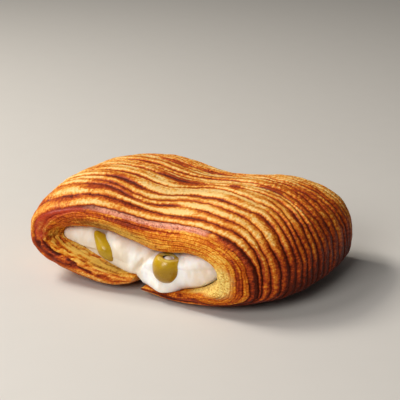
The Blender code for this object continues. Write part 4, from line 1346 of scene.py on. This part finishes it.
def build_stage(settings):
    """Pale floor, soft light from the upper left, and the camera at the photograph's point of view."""
    reach = FLOOR_REACH
    corners = np.array([[-reach, -reach, 0], [reach, -reach, 0], [reach, reach, 0], [-reach, reach, 0]])
    floor = make_piece("floor", corners, [np.array([[0, 1, 2, 3]])], floor_finish(settings.floor))

    world = bpy.data.worlds.new("plain_light")
    world.use_nodes = True
    background = world.node_tree.nodes["Background"]
    background.inputs["Color"].default_value = (*settings.sky, 1.0)
    background.inputs["Strength"].default_value = settings.sky_strength
    bpy.context.scene.world = world

    sin_a, cos_a = math.sin(CAMERA_AZIMUTH), math.cos(CAMERA_AZIMUTH)
    sin_e, cos_e = math.sin(CAMERA_ELEVATION), math.cos(CAMERA_ELEVATION)
    right = Vector((cos_a, sin_a, 0))
    back = Vector((sin_a * cos_e, -cos_a * cos_e, sin_e))
    away = Vector((-sin_a, cos_a, 0))
    target = Vector(CAMERA_TARGET)
    for name, ((across, behind, up), size) in LIGHTS.items():
        light = bpy.data.lights.new(name, "AREA")
        light.shape = "RECTANGLE"
        light.size, light.size_y = size
        light.energy = getattr(settings, name + "_power")
        light.color = getattr(settings, name + "_colour")
        aimed(light, right * across + away * behind + Vector((0, 0, up)), target)

    camera = bpy.data.cameras.new("camera")
    camera.lens = CAMERA_LENS
    camera.sensor_width = SENSOR_WIDTH
    camera.clip_start, camera.clip_end = CAMERA_CLIP
    aim = target + right * CAMERA_OFFSET[0] + back.cross(right) * CAMERA_OFFSET[1]
    bpy.context.scene.camera = aimed(camera, target + back * CAMERA_DISTANCE, aim)
    bpy.context.scene.view_settings.view_transform = "Standard"


# ---------------------------------------------------------------- what a user may change


def colour_property(name, description, default):
    """Property that holds a colour."""
    return FloatVectorProperty(name=name, description=description, default=default, subtype="COLOR")


def amount_property(name, description, default, unit="LENGTH"):
    """Property that holds a length in metres or another amount that isn't below 0."""
    return FloatProperty(name=name, description=description, default=default, min=0, unit=unit)


class CrustSettings(bpy.types.PropertyGroup):
    """Sizes and colours of the baked dough."""

    groove_depth: amount_property("Groove depth", "Depth of the grooves between the ribs", GROOVE_DEPTH)
    swell: amount_property("Swell", "Height of the soft bumps on the ribs", SWELL_HEIGHT)
    pale: colour_property("Pale", "Dough that has hardly browned", srgb(249, 209, 134))
    golden: colour_property("Golden", "Lightly browned dough", srgb(237, 166, 66))
    amber: colour_property("Amber", "Well browned dough", srgb(214, 116, 26))
    brown: colour_property("Brown", "Dough at the edges of the ribs", srgb(182, 74, 16))
    dark: colour_property("Dark", "Dough of the dark band and the stripes", srgb(142, 46, 9))
    charred: colour_property("Charred", "The bottoms of the grooves", srgb(88, 26, 5))


class CreamSettings(bpy.types.PropertyGroup):
    """Sizes and colours of the filling."""

    fold: amount_property("Fold", "Depth of the fold between the two lobes", 0.0012)
    waves: amount_property("Waves", "Height of the soft waves on the faces", 0.00012)
    light: colour_property("Light", "Colour of the cream", srgb(255, 252, 247))
    # shade is also the painted shade of the fold and the left-hand part.
    shade: colour_property("Shade", "Colour of its smears and hollows", srgb(234, 219, 196))


class OliveSettings(bpy.types.PropertyGroup):
    """Colours of the olives."""

    skin: colour_property("Skin", "Darker marks of the skin", srgb(160, 120, 4))
    # light also carries the painted light on the olives' upper parts.
    light: colour_property("Light", "Lighter marks of the skin", srgb(198, 161, 26))
    flesh: colour_property("Flesh", "Cut flesh round the pit hole", srgb(226, 208, 120))


class StageSettings(bpy.types.PropertyGroup):
    """Floor and light."""

    floor: colour_property("Floor", "Colour of the floor", srgb(214, 211, 205))
    sky: colour_property("Sky", "Colour of the light all round", (1.0, 0.98, 0.95))
    sky_strength: amount_property("Sky strength", "Light all round", 0.07, "NONE")
    key_power: amount_property("Key power", "Light from the left", 6.4, "POWER")
    key_colour: colour_property("Key colour", "Colour of the light from the left", (1.0, 0.95, 0.88))
    top_power: amount_property("Top power", "Light from above", 2.2, "POWER")
    top_colour: colour_property("Top colour", "Colour of the light from above", (1.0, 0.95, 0.93))
    fill_power: amount_property("Fill power", "Light from the front", 5.0, "POWER")
    fill_colour: colour_property("Fill colour", "Colour of the light from the front", (1.0, 0.97, 0.94))


class PASTRY_OT_crust(bpy.types.Operator):
    """Builds the folded strip of baked dough"""

    bl_idname = "pastry.add_crust"
    bl_label = "Add crust"

    def execute(self, context):
        build_crust(context.scene.pain_suisse_crust)
        return {"FINISHED"}


class PASTRY_OT_cream(bpy.types.Operator):
    """Builds the cream filling"""

    bl_idname = "pastry.add_cream"
    bl_label = "Add cream"

    def execute(self, context):
        build_cream(context.scene.pain_suisse_cream)
        return {"FINISHED"}


class PASTRY_OT_olives(bpy.types.Operator):
    """Builds the olives in the cream"""

    bl_idname = "pastry.add_olives"
    bl_label = "Add olives"

    def execute(self, context):
        build_olives(context.scene.pain_suisse_olives)
        return {"FINISHED"}


class PASTRY_OT_stage(bpy.types.Operator):
    """Sets up the floor, the lights and the camera"""

    bl_idname = "pastry.set_stage"
    bl_label = "Set stage"

    def execute(self, context):
        build_stage(context.scene.pain_suisse_stage)
        return {"FINISHED"}


class PASTRY_PT_panel(bpy.types.Panel):
    """Lists the pieces and what may be changed on them"""

    bl_idname = "PASTRY_PT_panel"
    bl_label = "Pain suisse"
    bl_space_type = "VIEW_3D"
    bl_region_type = "UI"
    bl_category = "Pastry"

    def draw(self, context):
        for operator, settings_name, settings_class in PARTS:
            box = self.layout.box()
            box.operator(operator.bl_idname)
            settings = getattr(context.scene, settings_name)
            for name in settings_class.__annotations__:
                box.prop(settings, name)


PARTS = (
    (PASTRY_OT_crust, "pain_suisse_crust", CrustSettings),
    (PASTRY_OT_cream, "pain_suisse_cream", CreamSettings),
    (PASTRY_OT_olives, "pain_suisse_olives", OliveSettings),
    (PASTRY_OT_stage, "pain_suisse_stage", StageSettings),
)


def register():
    for operator, name, settings in PARTS:
        bpy.utils.register_class(settings)
        setattr(bpy.types.Scene, name, PointerProperty(type=settings))
        bpy.utils.register_class(operator)
    bpy.utils.register_class(PASTRY_PT_panel)


def unregister():
    bpy.utils.unregister_class(PASTRY_PT_panel)
    for operator, name, settings in reversed(PARTS):
        bpy.utils.unregister_class(operator)
        delattr(bpy.types.Scene, name)
        bpy.utils.unregister_class(settings)


def main():
    register()
    bpy.ops.pastry.add_crust()
    bpy.ops.pastry.add_cream()
    bpy.ops.pastry.add_olives()
    bpy.ops.pastry.set_stage()


if __name__ == "__main__":
    main()
